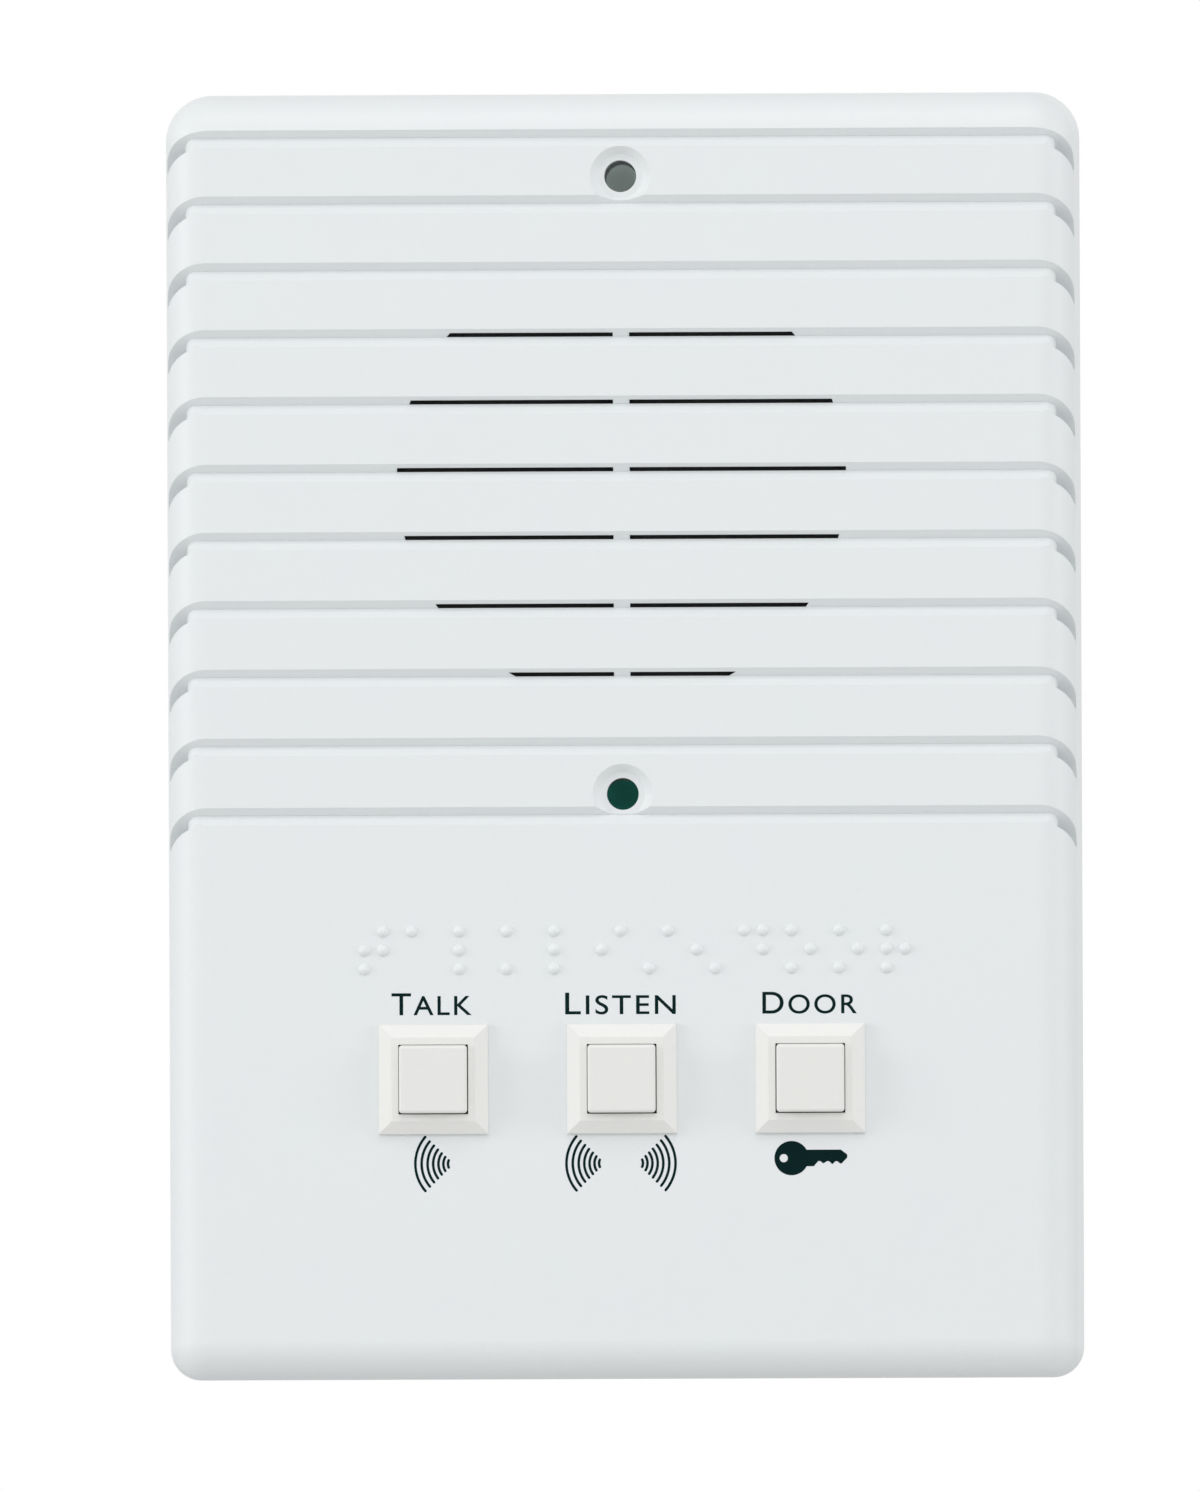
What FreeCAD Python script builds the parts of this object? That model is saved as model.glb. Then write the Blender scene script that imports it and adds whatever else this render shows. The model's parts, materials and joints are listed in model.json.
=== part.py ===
import FreeCAD, Part

import math
import os
import re

import Sketcher
from FreeCAD import Rotation, Vector

# Wall-mounted door intercom station. Frame in millimetres: +Z up, +X to the right seen from the
# room, the wall is the plane y = 0 and the front faces -Y. The origin is on the wall, midway
# between the two wall screws. "Depth" in the names below is the distance in front of the wall.

doc = FreeCAD.newDocument("intercom_station")
sheet = doc.addObject("Spreadsheet::Sheet", "Sizes")

driving_sizes = {
    # front cover
    "cover_width": (124.4, "rim width at the wall"),
    "cover_height": (175.0, "rim height at the wall"),
    "cover_depth": (31.8, "wall to front face"),
    "cover_wall": (2.4, "moulded wall"),
    "rim_top": (53.6, "top of the rim above the origin"),
    "draft_angle": (2.2, "taper of the side walls, degrees"),
    "top_corner_radius": (6.3, "upper corners seen from the front"),
    "bottom_corner_radius": (4.2, "lower corners seen from the front"),
    "front_edge_radius": (5.2, "rounding between front and sides"),
    "inner_edge_radius": (5.0, "the same rounding inside, where the groove ends need the wall"),
    # wall screws
    "screw_spacing": (83.3, "wall screws, upper to lower"),
    "screw_hole_radius": (2.15, "clearance hole of a wall screw"),
    "dish_radius": (4.05, "mouth of the dish round a wall screw"),
    "dish_seat_radius": (3.0, "floor of the dish"),
    "dish_depth": (1.2, "depth of the dish"),
    "screw_tube_radius": (4.6, "tube and collar round the wall screws"),
    "screw_collar_depth": (2.2, "collar behind the lower hole"),
    # louvre grooves and speaker slots
    "groove_top": (48.0, "upper edge of the first groove above the origin"),
    "groove_pitch": (8.92, "first groove to the second"),
    "groove_growth": (0.048, "how much each pitch is longer than the one above it"),
    "groove_count": (11, "grooves"),
    "groove_height": (2.3, "height of a groove on the front face"),
    "groove_depth": (1.25, "depth of a groove"),
    "groove_slope": (40.0, "fall of the groove's upper side, degrees"),
    "groove_end_inset": (2.4, "groove bottom ends inside the side wall"),
    "groove_end_radius": (1.4, "rounding of the groove bottom at its ends"),
    "groove_shoulder": (4.1, "depth where the end of a groove turns outwards"),
    "groove_runout": (7.0, "depth where a groove leaves the side wall"),
    "groove_spare": (0.15, "groove bottom past the side wall behind that"),
    "slot_first_groove": (3, "grooves above the first slotted one"),
    "slot_count": (6, "slotted grooves"),
    "slot_height": (0.55, "slot height"),
    "slot_circle_radius": (30.3, "circle that the slots fill"),
    "slot_web": (2.2, "solid strip between left and right slots"),
    # braille
    "braille_top": (-60.05, "top row of dots"),
    "braille_left": (-34.95, "first column of the first cell"),
    "braille_dot_pitch": (2.54, "dot to dot inside a cell"),
    "braille_cell_pitch": (6.4, "cell to cell"),
    "braille_dot_radius": (0.82, "radius of a dot on the face"),
    "braille_dot_height": (0.55, "height of a dot"),
    # speaker
    "speaker_height": (0.93, "speaker axis above the origin"),
    "speaker_radius": (33.0, "outer radius of the basket flange"),
    "screen_thickness": (0.3, "dust cloth behind the slots"),
    "gasket_thickness": (1.0, "card ring in front of the cone rim"),
    "gasket_width": (4.3, "width of the card ring"),
    "rim_setback": (1.0, "glued rim inside the edge of the flange"),
    "rim_thickness": (0.3, "glued rim of the surround"),
    "roll_radius": (1.2, "half roll of the surround"),
    "roll_gap": (0.2, "half roll to the card ring"),
    "flange_thickness": (0.8, "basket sheet"),
    "flange_width": (5.4, "flat ring of the basket"),
    "basket_seat_radius": (17.0, "basket back disc"),
    "basket_depth": (10.0, "flange back to basket back"),
    "basket_window_width": (15.0, "opening between two basket legs"),
    "spider_ledge_width": (2.2, "ledge that holds the spider"),
    "spider_height": (1.6, "spider above the basket back disc"),
    "spider_thickness": (0.3, "spider cloth"),
    "top_plate_thickness": (2.5, "front pole plate"),
    "top_plate_radius": (15.0, "front pole plate"),
    "magnet_thickness": (5.0, "ring magnet"),
    "magnet_overhang": (1.0, "ring magnet past the pole plates"),
    "magnet_bore_step": (1.25, "bore of the magnet wider than the pole plate's"),
    "yoke_thickness": (2.0, "back pole plate"),
    "pole_radius": (6.0, "centre pole"),
    "coil_clearance": (0.35, "voice coil to pole, and winding to plate"),
    "former_wall": (0.2, "voice coil former"),
    "winding_wall": (0.45, "voice coil wire"),
    "winding_overhang": (0.6, "winding past the front pole plate, each side"),
    "former_front": (0.6, "former in front of the cone's neck"),
    "former_tail": (0.8, "former behind the winding"),
    "cone_wall": (0.4, "cone paper"),
    "neck_stand": (2.1, "cone neck in front of the spider's ledge"),
    "glue_gap": (0.03, "parts glued on one another"),
    "spider_pleats": (4, "pleats of the spider"),
    "spider_pleat_height": (0.35, "height of a pleat"),
    "dust_cap_overlap": (1.45, "dust cap rim outside the former"),
    "dust_cap_height": (2.4, "dust cap dome"),
    "dust_cap_wall": (0.3, "dust cap paper"),
    "stud_radius": (1.5, "moulded studs that hold the speaker"),
    "stud_gap": (0.7, "studs to the edge of the flange"),
    "push_nut_radius": (4.4, "spring-steel push nut"),
    "push_nut_thickness": (0.5, "spring-steel push nut"),
    "stud_grip": (0.05, "gap between stud and push nut"),
    "stud_stand": (1.6, "stud behind its push nut"),
    # push-buttons
    "button_pitch": (25.4, "button to button"),
    "button_shift": (-0.27, "middle button beside the centre line"),
    "button_height": (-80.0, "button centres above the origin"),
    "bezel_lip": (0.7, "upright edge of the bezel"),
    "bezel_rise": (1.6, "bezel in front of the cover"),
    "bezel_slope": (1.75, "width of the bezel's sloping border"),
    "bezel_land": (0.95, "flat ring between the slope and the cap's opening"),
    "bezel_neck_wall": (1.375, "wall of the neck through the cover"),
    "bezel_reach": (3.2, "neck behind the cover's wall"),
    "neck_clearance": (0.2, "bezel neck to cover opening, each side"),
    "snap_barb": (0.6, "barbs that hold the bezel"),
    "snap_width": (5.0, "width of a barb"),
    "snap_length": (2.0, "length of a barb"),
    "snap_gap": (0.05, "barb to the back of the cover's wall"),
    "button_size": (9.15, "square button cap"),
    "button_clearance": (0.11, "cap to bezel, each side"),
    "button_lift": (0.05, "caps rest above the middle of their openings"),
    "button_lean": (0.02, "caps rest beside the middle of their openings"),
    "button_proud": (1.8, "cap in front of the bezel"),
    "button_skirt": (7.0, "cap front to skirt end"),
    "button_wall": (1.2, "cap wall"),
    "button_edge_radius": (0.45, "rounded front edge of the cap"),
    "stem_radius": (2.0, "stem behind the cap"),
    # switches on the board
    "switch_size": (12.0, "square switch body"),
    "switch_height": (8.5, "switch body in front of the board"),
    "switch_floor": (1.2, "floor under the spring"),
    "plunger_radius": (3.0, "switch plunger"),
    "plunger_fit": (0.08, "plunger to bore, radial"),
    "plunger_length": (5.4, "switch plunger"),
    "plunger_stand": (1.8, "plunger in front of the switch body"),
    "spring_inset": (0.7, "middle of the spring wire inside the plunger's edge"),
    "spring_wire": (0.2, "radius of the spring wire"),
    "spring_turns": (5, "turns of the return spring"),
    "pin_width": (0.8, "switch pin"),
    "pin_thickness": (0.4, "switch pin"),
    "pin_pitch": (8.0, "switch pins, across"),
    "pin_hole_radius": (0.65, "drilled hole of a pin"),
    "pin_stand": (1.4, "pin behind the board"),
    # circuit board
    "board_side_margin": (11.2, "board inside the rim, each side"),
    "board_entry_gap": (0.4, "board below the cable opening"),
    "board_post_gap": (2.0, "board above the lower posts of the back plate"),
    "board_corner_radius": (2.0, "board corners"),
    "board_standoff": (13.8, "board behind the inside of the cover's front"),
    "board_thickness": (1.6, "circuit board"),
    "board_hole_radius": (2.6, "hole that the lower wall screw passes"),
    "board_hole_drop": (0.8, "board hole below the cover's hole"),
    "board_screw_inset": (5.5, "board screws in from the sides and the lower edge"),
    "board_screw_drop": (19.6, "upper board screws below the upper edge"),
    "board_post_radius": (3.3, "posts that carry the board"),
    # back plate
    "plate_thickness": (1.2, "sheet-steel back plate"),
    "plate_recess": (2.0, "back plate behind the rim"),
    "plate_clearance": (0.4, "back plate to cover, each side"),
    "plate_corner_radius": (4.4, "back plate corners"),
    "plate_hole_radius": (2.6, "wall screw hole of the back plate"),
    "entry_width": (50.0, "cable opening"),
    "entry_height": (72.0, "cable opening"),
    "entry_corner_radius": (4.0, "corners of both openings"),
    "window_side_margin": (8.5, "opening past the terminal block, left and right"),
    "window_end_margin": (3.5, "opening past the terminal block, above and below"),
    "plate_screw_side": (11.2, "back plate screws in from the sides of the rim"),
    "plate_screw_end": (9.1, "back plate screws in from the ends of the rim"),
    "plate_post_radius": (3.7, "posts that carry the back plate"),
    # self-tapping screws
    "screw_radius": (1.3, "screw shank"),
    "screw_length": (8.0, "screw under its head"),
    "screw_head_radius": (2.6, "pan head"),
    "screw_head_height": (1.6, "pan head"),
    "screw_slot_width": (0.7, "cross recess"),
    "screw_slot_depth": (0.9, "cross recess"),
    "screw_hole_clearance": (0.2, "screw to the hole that it passes"),
    "pilot_spare": (2.0, "pilot hole beyond the screw's end"),
    # board components
    "block_width": (27.0, "terminal block"),
    "block_height": (10.0, "terminal block"),
    "block_thickness": (8.8, "terminal block behind the board"),
    "block_middle": (-62.5, "middle of the terminal block"),
    "block_entry_step": (0.3, "wire entries in front of the wells' floors"),
    "block_ways": (5, "terminals"),
    "block_pitch": (5.08, "terminal to terminal"),
    "block_well_radius": (1.9, "well over a terminal screw"),
    "block_well_depth": (3.2, "well over a terminal screw"),
    "terminal_screw_radius": (1.7, "terminal screw head"),
    "terminal_screw_height": (1.6, "terminal screw head"),
    "wire_hole_size": (3.0, "wire entry of a terminal"),
    "capacitor_radius": (4.0, "capacitor can"),
    "capacitor_length": (10.5, "capacitor can"),
    "capacitor_edge": (0.45, "bevelled edge of the can"),
    "capacitor_x": (30.0, "capacitor from the middle"),
    "capacitor_z": (-52.0, "capacitor above the origin"),
    "resistor_radius": (1.2, "resistor body"),
    "resistor_length": (6.3, "resistor body"),
    "resistor_lead_radius": (0.3, "resistor lead"),
    "resistor_span": (10.2, "lead to lead"),
    "resistor_lift": (1.6, "resistor axis in front of the board"),
    "resistor_x": (-30.0, "resistors from the middle"),
    "resistor_z": (-45.0, "first resistor above the origin"),
    "resistor_pitch": (4.0, "resistor to resistor"),
    "resistor_count": (4, "resistors"),
    # speaker connection
    "strip_width": (14.0, "tag strip on the basket flange"),
    "strip_height": (4.4, "tag strip"),
    "strip_thickness": (1.0, "tag strip"),
    "tag_width": (2.0, "solder tag"),
    "tag_length": (2.2, "solder tag behind the strip"),
    "tag_thickness": (0.4, "solder tag"),
    "tag_x": (4.5, "solder tags from the middle"),
    "lead_radius": (0.55, "insulated speaker lead"),
}

for row, (alias, (number, note)) in enumerate(driving_sizes.items(), start=1):
    sheet.set(f"A{row}", alias.replace("_", " "))
    sheet.set(f"B{row}", str(number))
    sheet.setAlias(f"B{row}", alias)
    sheet.set(f"C{row}", note)
doc.recompute()

# Formulas used in several places, in the words of the sheet.
FACE = "cover_depth"
INSIDE = "(cover_depth - cover_wall)"
RIM_BOTTOM = "(rim_top - cover_height)"
UPPER_SCREW = "(screw_spacing / 2)"
LOWER_SCREW = "(-screw_spacing / 2)"
PLATE_FRONT = "(plate_recess + plate_thickness)"
GASKET_FRONT = f"({INSIDE} - screen_thickness)"
RIM_FRONT = f"({GASKET_FRONT} - gasket_thickness)"
FLANGE_FRONT = f"({RIM_FRONT} - rim_thickness)"
FLANGE_BACK = f"({FLANGE_FRONT} - flange_thickness)"
BASKET_BACK = f"({FLANGE_BACK} - basket_depth)"
BASKET_FLOOR = f"({BASKET_BACK} + flange_thickness)"
SPIDER_SEAT = f"({BASKET_FLOOR} + spider_height)"
CONE_NECK = f"({SPIDER_SEAT} + neck_stand)"
TOP_PLATE_BACK = f"({BASKET_BACK} - top_plate_thickness)"
MAGNET_BACK = f"({TOP_PLATE_BACK} - magnet_thickness)"
YOKE_BACK = f"({MAGNET_BACK} - yoke_thickness)"
STRIP_BACK = f"({FLANGE_BACK} - strip_thickness)"
GASKET_INNER = "(speaker_radius - gasket_width)"
THROAT = "(speaker_radius - flange_width)"
ROLL_MIDDLE = f"({GASKET_INNER} - roll_gap - roll_radius)"
CONE_EDGE = f"({ROLL_MIDDLE} - roll_radius)"
BASKET_WALL_END = "(basket_seat_radius - flange_thickness)"
LEDGE_INNER = f"({BASKET_WALL_END} - spider_ledge_width)"
FORMER_INNER = "(pole_radius + coil_clearance)"
FORMER_OUTER = f"({FORMER_INNER} + former_wall)"
WINDING_OUTER = f"({FORMER_OUTER} + winding_wall)"
PLATE_BORE = f"({WINDING_OUTER} + coil_clearance)"
DUST_CAP_RIM = f"({FORMER_OUTER} + dust_cap_overlap)"
STUD_CIRCLE = "(speaker_radius + stud_radius + stud_gap)"
STRIP_Z = "(speaker_height - speaker_radius + strip_height / 2)"
PLATE_SCREW_X = "(cover_width / 2 - plate_screw_side)"
PLATE_SCREW_TOP = "(rim_top - plate_screw_end)"
PLATE_SCREW_BOTTOM = f"({RIM_BOTTOM} + plate_screw_end)"
BOARD_FRONT = f"({INSIDE} - board_standoff)"
BOARD_BACK = f"({BOARD_FRONT} - board_thickness)"
BOARD_HALF_WIDTH = "(cover_width / 2 - board_side_margin)"
BOARD_TOP = "(-entry_height / 2 - board_entry_gap)"
BOARD_BOTTOM = f"({PLATE_SCREW_BOTTOM} + plate_post_radius + board_post_gap)"
BOARD_SCREW_X = f"({BOARD_HALF_WIDTH} - board_screw_inset)"
BOARD_SCREW_TOP = f"({BOARD_TOP} - board_screw_drop)"
BOARD_SCREW_BOTTOM = f"({BOARD_BOTTOM} + board_screw_inset)"
SCREW_PASS = "(screw_radius + screw_hole_clearance)"
CAP_OPENING = "(button_size + 2 * button_clearance)"
BEZEL_NECK = f"({CAP_OPENING} + 2 * bezel_neck_wall)"
BEZEL_TOP = f"({CAP_OPENING} + 2 * bezel_land)"
BEZEL_SIZE = f"({BEZEL_TOP} + 2 * bezel_slope)"
SWITCH_FRONT = f"({BOARD_FRONT} + switch_height)"
PLUNGER_FRONT = f"({SWITCH_FRONT} + plunger_stand)"
PLUNGER_BACK = f"({PLUNGER_FRONT} - plunger_length)"
SPRING_SEAT = f"({BOARD_FRONT} + switch_floor)"
CAP_FRONT = "(cover_depth + bezel_rise + button_proud)"


def size(alias):
    """The number in the sheet's cell of this name."""
    return float(sheet.get(alias))


def formula(words):
    """The same formula with each size written as a cell of the sheet."""
    return re.sub(r"[a-z_]+", lambda w: f"Sizes.{w[0]}" if w[0] in driving_sizes else w[0], str(words))


def bind(thing, cells):
    """Tie properties of a document object to formulas."""
    for prop, words in cells.items():
        thing.setExpression(prop, formula(words))
    return thing


def place(thing, x="0", depth="0", z="0"):
    """Tie a placement to a point given by x, depth in front of the wall and z."""
    return bind(thing, {"Placement.Base.x": x, "Placement.Base.y": f"-({depth})", "Placement.Base.z": z})


def box(name, x, z, width, height, back, front):
    """A box centred on (x, z) between two depths."""
    made = doc.addObject("Part::Box", name)
    bind(made, {"Length": width, "Width": f"({front}) - ({back})", "Height": height})
    return place(made, f"({x}) - ({width}) / 2", front, f"({z}) - ({height}) / 2")


def cylinder(name, x, z, radius, back, front):
    """A cylinder along Y between two depths."""
    made = doc.addObject("Part::Cylinder", name)
    bind(made, {"Radius": radius, "Height": f"({front}) - ({back})"})
    made.Placement.Rotation = Rotation(Vector(1, 0, 0), 90)
    return place(made, x, back, z)


def cone(name, x, z, back_radius, front_radius, back, front):
    """A cone along Y between two depths."""
    made = doc.addObject("Part::Cone", name)
    bind(made, {"Radius1": back_radius, "Radius2": front_radius, "Height": f"({front}) - ({back})"})
    made.Placement.Rotation = Rotation(Vector(1, 0, 0), 90)
    return place(made, x, back, z)


def fuse(name, pieces):
    made = doc.addObject("Part::MultiFuse", name)
    made.Shapes = pieces
    return made


def group(name, pieces):
    """Separate solids kept in one node."""
    made = doc.addObject("Part::Compound", name)
    made.Links = pieces
    return made


def cut(name, base, tool):
    made = doc.addObject("Part::Cut", name)
    made.Base = base
    made.Tool = tool
    return made


def common(name, base, tool):
    made = doc.addObject("Part::Common", name)
    made.Base = base
    made.Tool = tool
    return made


def solid(name, shape):
    """A shape made with Part's own functions."""
    made = doc.addObject("Part::Feature", name)
    made.Shape = shape
    return made


def body(name):
    return doc.addObject("PartDesign::Body", name)


def sketch(host, role, offset="0"):
    """A sketch on one of the body's own origin planes, moved along the plane's normal."""
    made = host.newObject("Sketcher::SketchObject", f"{host.Name}_sketch")
    plane = next(item for item in host.Origin.OriginFeatures if item.Role == role)
    made.AttachmentSupport = [(plane, "")]
    made.MapMode = "FlatFace"
    return bind(made, {"AttachmentOffset.Base.z": offset})


def pin_point(drawing, geometry, end, x, y):
    """Fix one point of a sketch at two formulas."""
    for kind, axis, words in (("DistanceX", -2, x), ("DistanceY", -1, y)):
        if words == "0":
            drawing.addConstraint(Sketcher.Constraint("PointOnObject", geometry, end, axis))
            continue
        index = drawing.addConstraint(Sketcher.Constraint(kind, -1, 1, geometry, end, 1.0))
        drawing.setExpression(f"Constraints[{index}]", formula(words))


def outline(drawing, corners):
    """A closed outline of straight lines through corners given by formulas."""
    count = len(corners)
    rough = [Vector(math.cos(k * math.tau / count), math.sin(k * math.tau / count), 0) for k in range(count)]
    first = drawing.GeometryCount
    for k in range(count):
        drawing.addGeometry(Part.LineSegment(rough[k], rough[(k + 1) % count]))
    for k in range(count):
        following = first + (k + 1) % count
        drawing.addConstraint(Sketcher.Constraint("Coincident", first + k, 2, following, 1))
    for k, (x, y) in enumerate(corners):
        pin_point(drawing, first + k, 1, x, y)


def square(drawing, x, z, width, height):
    """A rectangle centred on (x, z)."""
    left, right = f"({x}) - ({width}) / 2", f"({x}) + ({width}) / 2"
    low, high = f"({z}) - ({height}) / 2", f"({z}) + ({height}) / 2"
    outline(drawing, [(left, low), (right, low), (right, high), (left, high)])


def ring(drawing, x, z, radius):
    """A circle given by formulas."""
    index = drawing.addGeometry(Part.Circle(Vector(0, 0, 0), Vector(0, 0, 1), 1.0))
    pin_point(drawing, index, 3, x, z)
    bound = drawing.addConstraint(Sketcher.Constraint("Radius", index, 1.0))
    drawing.setExpression(f"Constraints[{bound}]", formula(radius))


def pad(host, drawing, length):
    """Material from the sketch towards the front."""
    made = host.newObject("PartDesign::Pad", f"{host.Name}_pad")
    made.Profile = drawing
    return bind(made, {"Length": length})


def pocket(host, drawing, length):
    """A hole from the sketch towards the front."""
    made = host.newObject("PartDesign::Pocket", f"{host.Name}_pocket")
    made.Profile = drawing
    made.Reversed = True
    return bind(made, {"Length": length})


def turned(name, profiles, x="0", z="0"):
    """A body revolved about an axis along Y through (x, z); each profile is a list of (radius, depth)."""
    host = body(name)
    for corners in profiles:
        drawing = sketch(host, "XY_Plane")
        outline(drawing, [(radius, f"-({depth})") for radius, depth in corners])
        made = host.newObject("PartDesign::Revolution", f"{name}_revolution")
        made.Profile = drawing
        made.ReferenceAxis = (drawing, ["V_Axis"])
        made.Angle = 360
    return place(host, x, "0", z)


def washer_profile(inner, outer, back, front):
    return [(inner, back), (outer, back), (outer, front), (inner, front)]


def disc_profile(radius, back, front):
    return washer_profile("0", radius, back, front)


def speaker_ring(name, profiles):
    """A piece of the loudspeaker turned about its axis."""
    return turned(name, profiles, z="speaker_height")


def screw_places(x, heights):
    """Left and right of the middle at each height."""
    return [(side, height) for height in heights for side in (f"-{x}", x)]


def screws(name, places, seat):
    """Self-tapping screws driven towards the front, heads behind the seat."""
    host = body(name)
    heads = sketch(host, "XZ_Plane", f"({seat}) - screw_head_height")
    shanks = sketch(host, "XZ_Plane", seat)
    for x, z in places:
        ring(heads, x, z, "screw_head_radius")
        ring(shanks, x, z, "screw_radius")
    pad(host, heads, "screw_head_height")
    pad(host, shanks, "screw_length")
    wide, narrow = "screw_head_radius", "screw_slot_width"
    for width, height in ((narrow, wide), (wide, narrow)):
        recess = sketch(host, "XZ_Plane", f"({seat}) - screw_head_height")
        for x, z in places:
            square(recess, x, z, width, height)
        pocket(host, recess, "screw_slot_depth")
    return host


def drafted_block(name, inset, front):
    """A block tapering from the rim to a front at this depth, inset all round."""
    side = f"cover_width / 2 - ({inset})"
    top = f"rim_top - ({inset})"
    low = f"{RIM_BOTTOM} + ({inset})"
    taper = f"({front}) * tan(draft_angle)"
    made = doc.addObject("Part::Wedge", name)
    return bind(
        made,
        {
            "Ymin": f"-({front})",
            "Ymax": "0",
            "Xmin": f"-({side}) + {taper}",
            "Xmax": f"({side}) - {taper}",
            "Zmin": f"{low} + {taper}",
            "Zmax": f"{top} - {taper}",
            "X2min": f"-({side})",
            "X2max": side,
            "Z2min": low,
            "Z2max": top,
        },
    )


def rounded(name, block, front_radius, inset):
    """Round a drafted block's front edges and its four corners; an inset block gets tighter corners."""
    block.recompute()
    least = 0.5
    front_y = block.Shape.BoundBox.YMin
    middle_z = block.Shape.BoundBox.Center.z
    edges = []
    for number, edge in enumerate(block.Shape.Edges, start=1):
        ends = [vertex.Point for vertex in edge.Vertexes]
        if all(abs(point.y - front_y) < 1e-6 for point in ends):
            radius = size(front_radius)
        elif abs(ends[0].y - ends[1].y) > 1e-6:
            corner = "top_corner_radius" if ends[0].z > middle_z else "bottom_corner_radius"
            radius = max(size(corner) - inset, least)
        else:
            continue
        edges.append((number, radius, radius))
    made = doc.addObject("Part::Fillet", name)
    made.Base = block
    made.Edges = edges
    return made


# The louvre grooves. Each is the gap between two planes that fall towards the wall, kept out of a
# core whose front stands one groove depth behind the cover's face at the upper plane and level
# with the face at the lower one. At its ends the core has rounded corners and turns outwards past
# the side walls, so a groove runs out there.


def groove_outline(drop, front_inset, side_inset):
    """Closed outline of the core on a falling plane that is lowered by drop."""
    fall = math.tan(math.radians(size("groove_slope")))
    draft = math.tan(math.radians(size("draft_angle")))
    radius = size("groove_end_radius")
    face_y = -size("cover_depth")
    front_y = face_y + front_inset
    corner_y = front_y + radius
    shoulder_y = face_y + size("groove_shoulder")
    runout_y = face_y + size("groove_runout")
    back_y = runout_y + size("groove_depth")
    outside = side_inset - size("groove_end_inset") - size("groove_spare")

    def on_plane(x, y):
        return Vector(x, y, -drop - (y - face_y) * fall)

    def side_x(y, inset):
        return size("cover_width") / 2 + y * draft - inset

    def round_end(sign):
        centre_x = side_x(corner_y, side_inset) - radius
        ellipse = Part.Ellipse(
            on_plane(sign * centre_x, front_y),
            on_plane(sign * (centre_x + radius), corner_y),
            on_plane(sign * centre_x, corner_y),
        )
        return Part.ArcOfEllipse(ellipse, 0, math.pi / 2)

    def side_points(sign):
        stations = ((shoulder_y, side_inset), (runout_y, outside), (back_y, outside))
        return [on_plane(sign * side_x(y, inset), y) for y, inset in stations]

    left, right = round_end(-1), round_end(1)
    bounds = [right.EndPoint, *side_points(1), *reversed(side_points(-1)), left.EndPoint]
    lines = [Part.LineSegment(start, end) for start, end in zip(bounds, bounds[1:])]
    pieces = [Part.LineSegment(left.StartPoint, right.StartPoint), right, *lines, left]
    return Part.Wire(Part.__sortEdges__([piece.toShape() for piece in pieces]))


def groove_cutter():
    """One groove with its upper edge at z = 0 on the cover's face."""
    height, depth, inset = size("groove_height"), size("groove_depth"), size("groove_end_inset")
    share = 1.3  # the core goes on past the lower edge, so that it leaves the face cleanly
    upper = groove_outline(0, depth, inset)
    lower = groove_outline(share * height, (1 - share) * depth, inset)
    core = Part.makeLoft([upper, lower], True, True)
    face_y = -size("cover_depth")
    fall = math.tan(math.radians(size("groove_slope")))
    near_y, far_y = face_y - depth, face_y + size("groove_runout") + depth / 2
    side_x = size("cover_width") / 2 + depth
    corners = [
        Vector(-side_x, y, -drop - (y - face_y) * fall)
        for y, drop in ((near_y, 0), (far_y, 0), (far_y, height), (near_y, height), (near_y, 0))
    ]
    slab = Part.Face(Part.makePolygon(corners)).extrude(Vector(2 * side_x, 0, 0))
    return slab.cut(core)


def groove_edge(number):
    """Upper edge of a groove on the cover's face; the grooves are numbered from 0, top down."""
    return f"(groove_top - ({number}) * groove_pitch - groove_growth * ({number}) * ({number} - 1) / 2)"


def groove_cutters():
    one = groove_cutter()
    top, pitch, growth = size("groove_top"), size("groove_pitch"), size("groove_growth")
    heights = [top - k * pitch - growth * k * (k - 1) / 2 for k in range(int(size("groove_count")))]
    return Part.makeCompound([one.translated(Vector(0, 0, height)) for height in heights])


# Front cover

nodes = []


def braille_places():
    """Dot centres: T A L K, L I S T E N and D O O R in contracted braille."""
    cells = ("2345", "1", "123", "13", "123", "24", "34", "26", "145", "135", "135", "1235")
    places = []
    for number, dots in enumerate(cells):
        for dot in dots:
            column, row = divmod(int(dot) - 1, 3)
            x = f"braille_left + {number} * braille_cell_pitch + {column} * braille_dot_pitch"
            z = f"braille_top - {row} * braille_dot_pitch"
            places.append((x, z))
    return places


def speaker_slots():
    """Slots at the bottom of some grooves, left and right of a solid strip, inside one circle."""
    slots = []
    for k in range(int(size("slot_count"))):
        upper_edge = groove_edge(f"slot_first_groove + {k}")
        middle = f"{upper_edge} - groove_depth * tan(groove_slope) + slot_height / 2"
        length = "(slot_circle_radius - slot_web / 2)"
        for side, x in (("left", f"-slot_web / 2 - {length} / 2"), ("right", f"slot_web / 2 + {length} / 2")):
            slots.append(
                box(f"slot_{side}_{k}", x, middle, length, "slot_height", f"{INSIDE} - 1", f"{FACE} + 1")
            )
    through = (f"{INSIDE} - 1", f"{FACE} + 1")
    disc = cylinder("slot_circle", "0", "speaker_height", "slot_circle_radius", *through)
    return common("speaker_slots", disc, group("slot_rows", slots))


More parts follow.
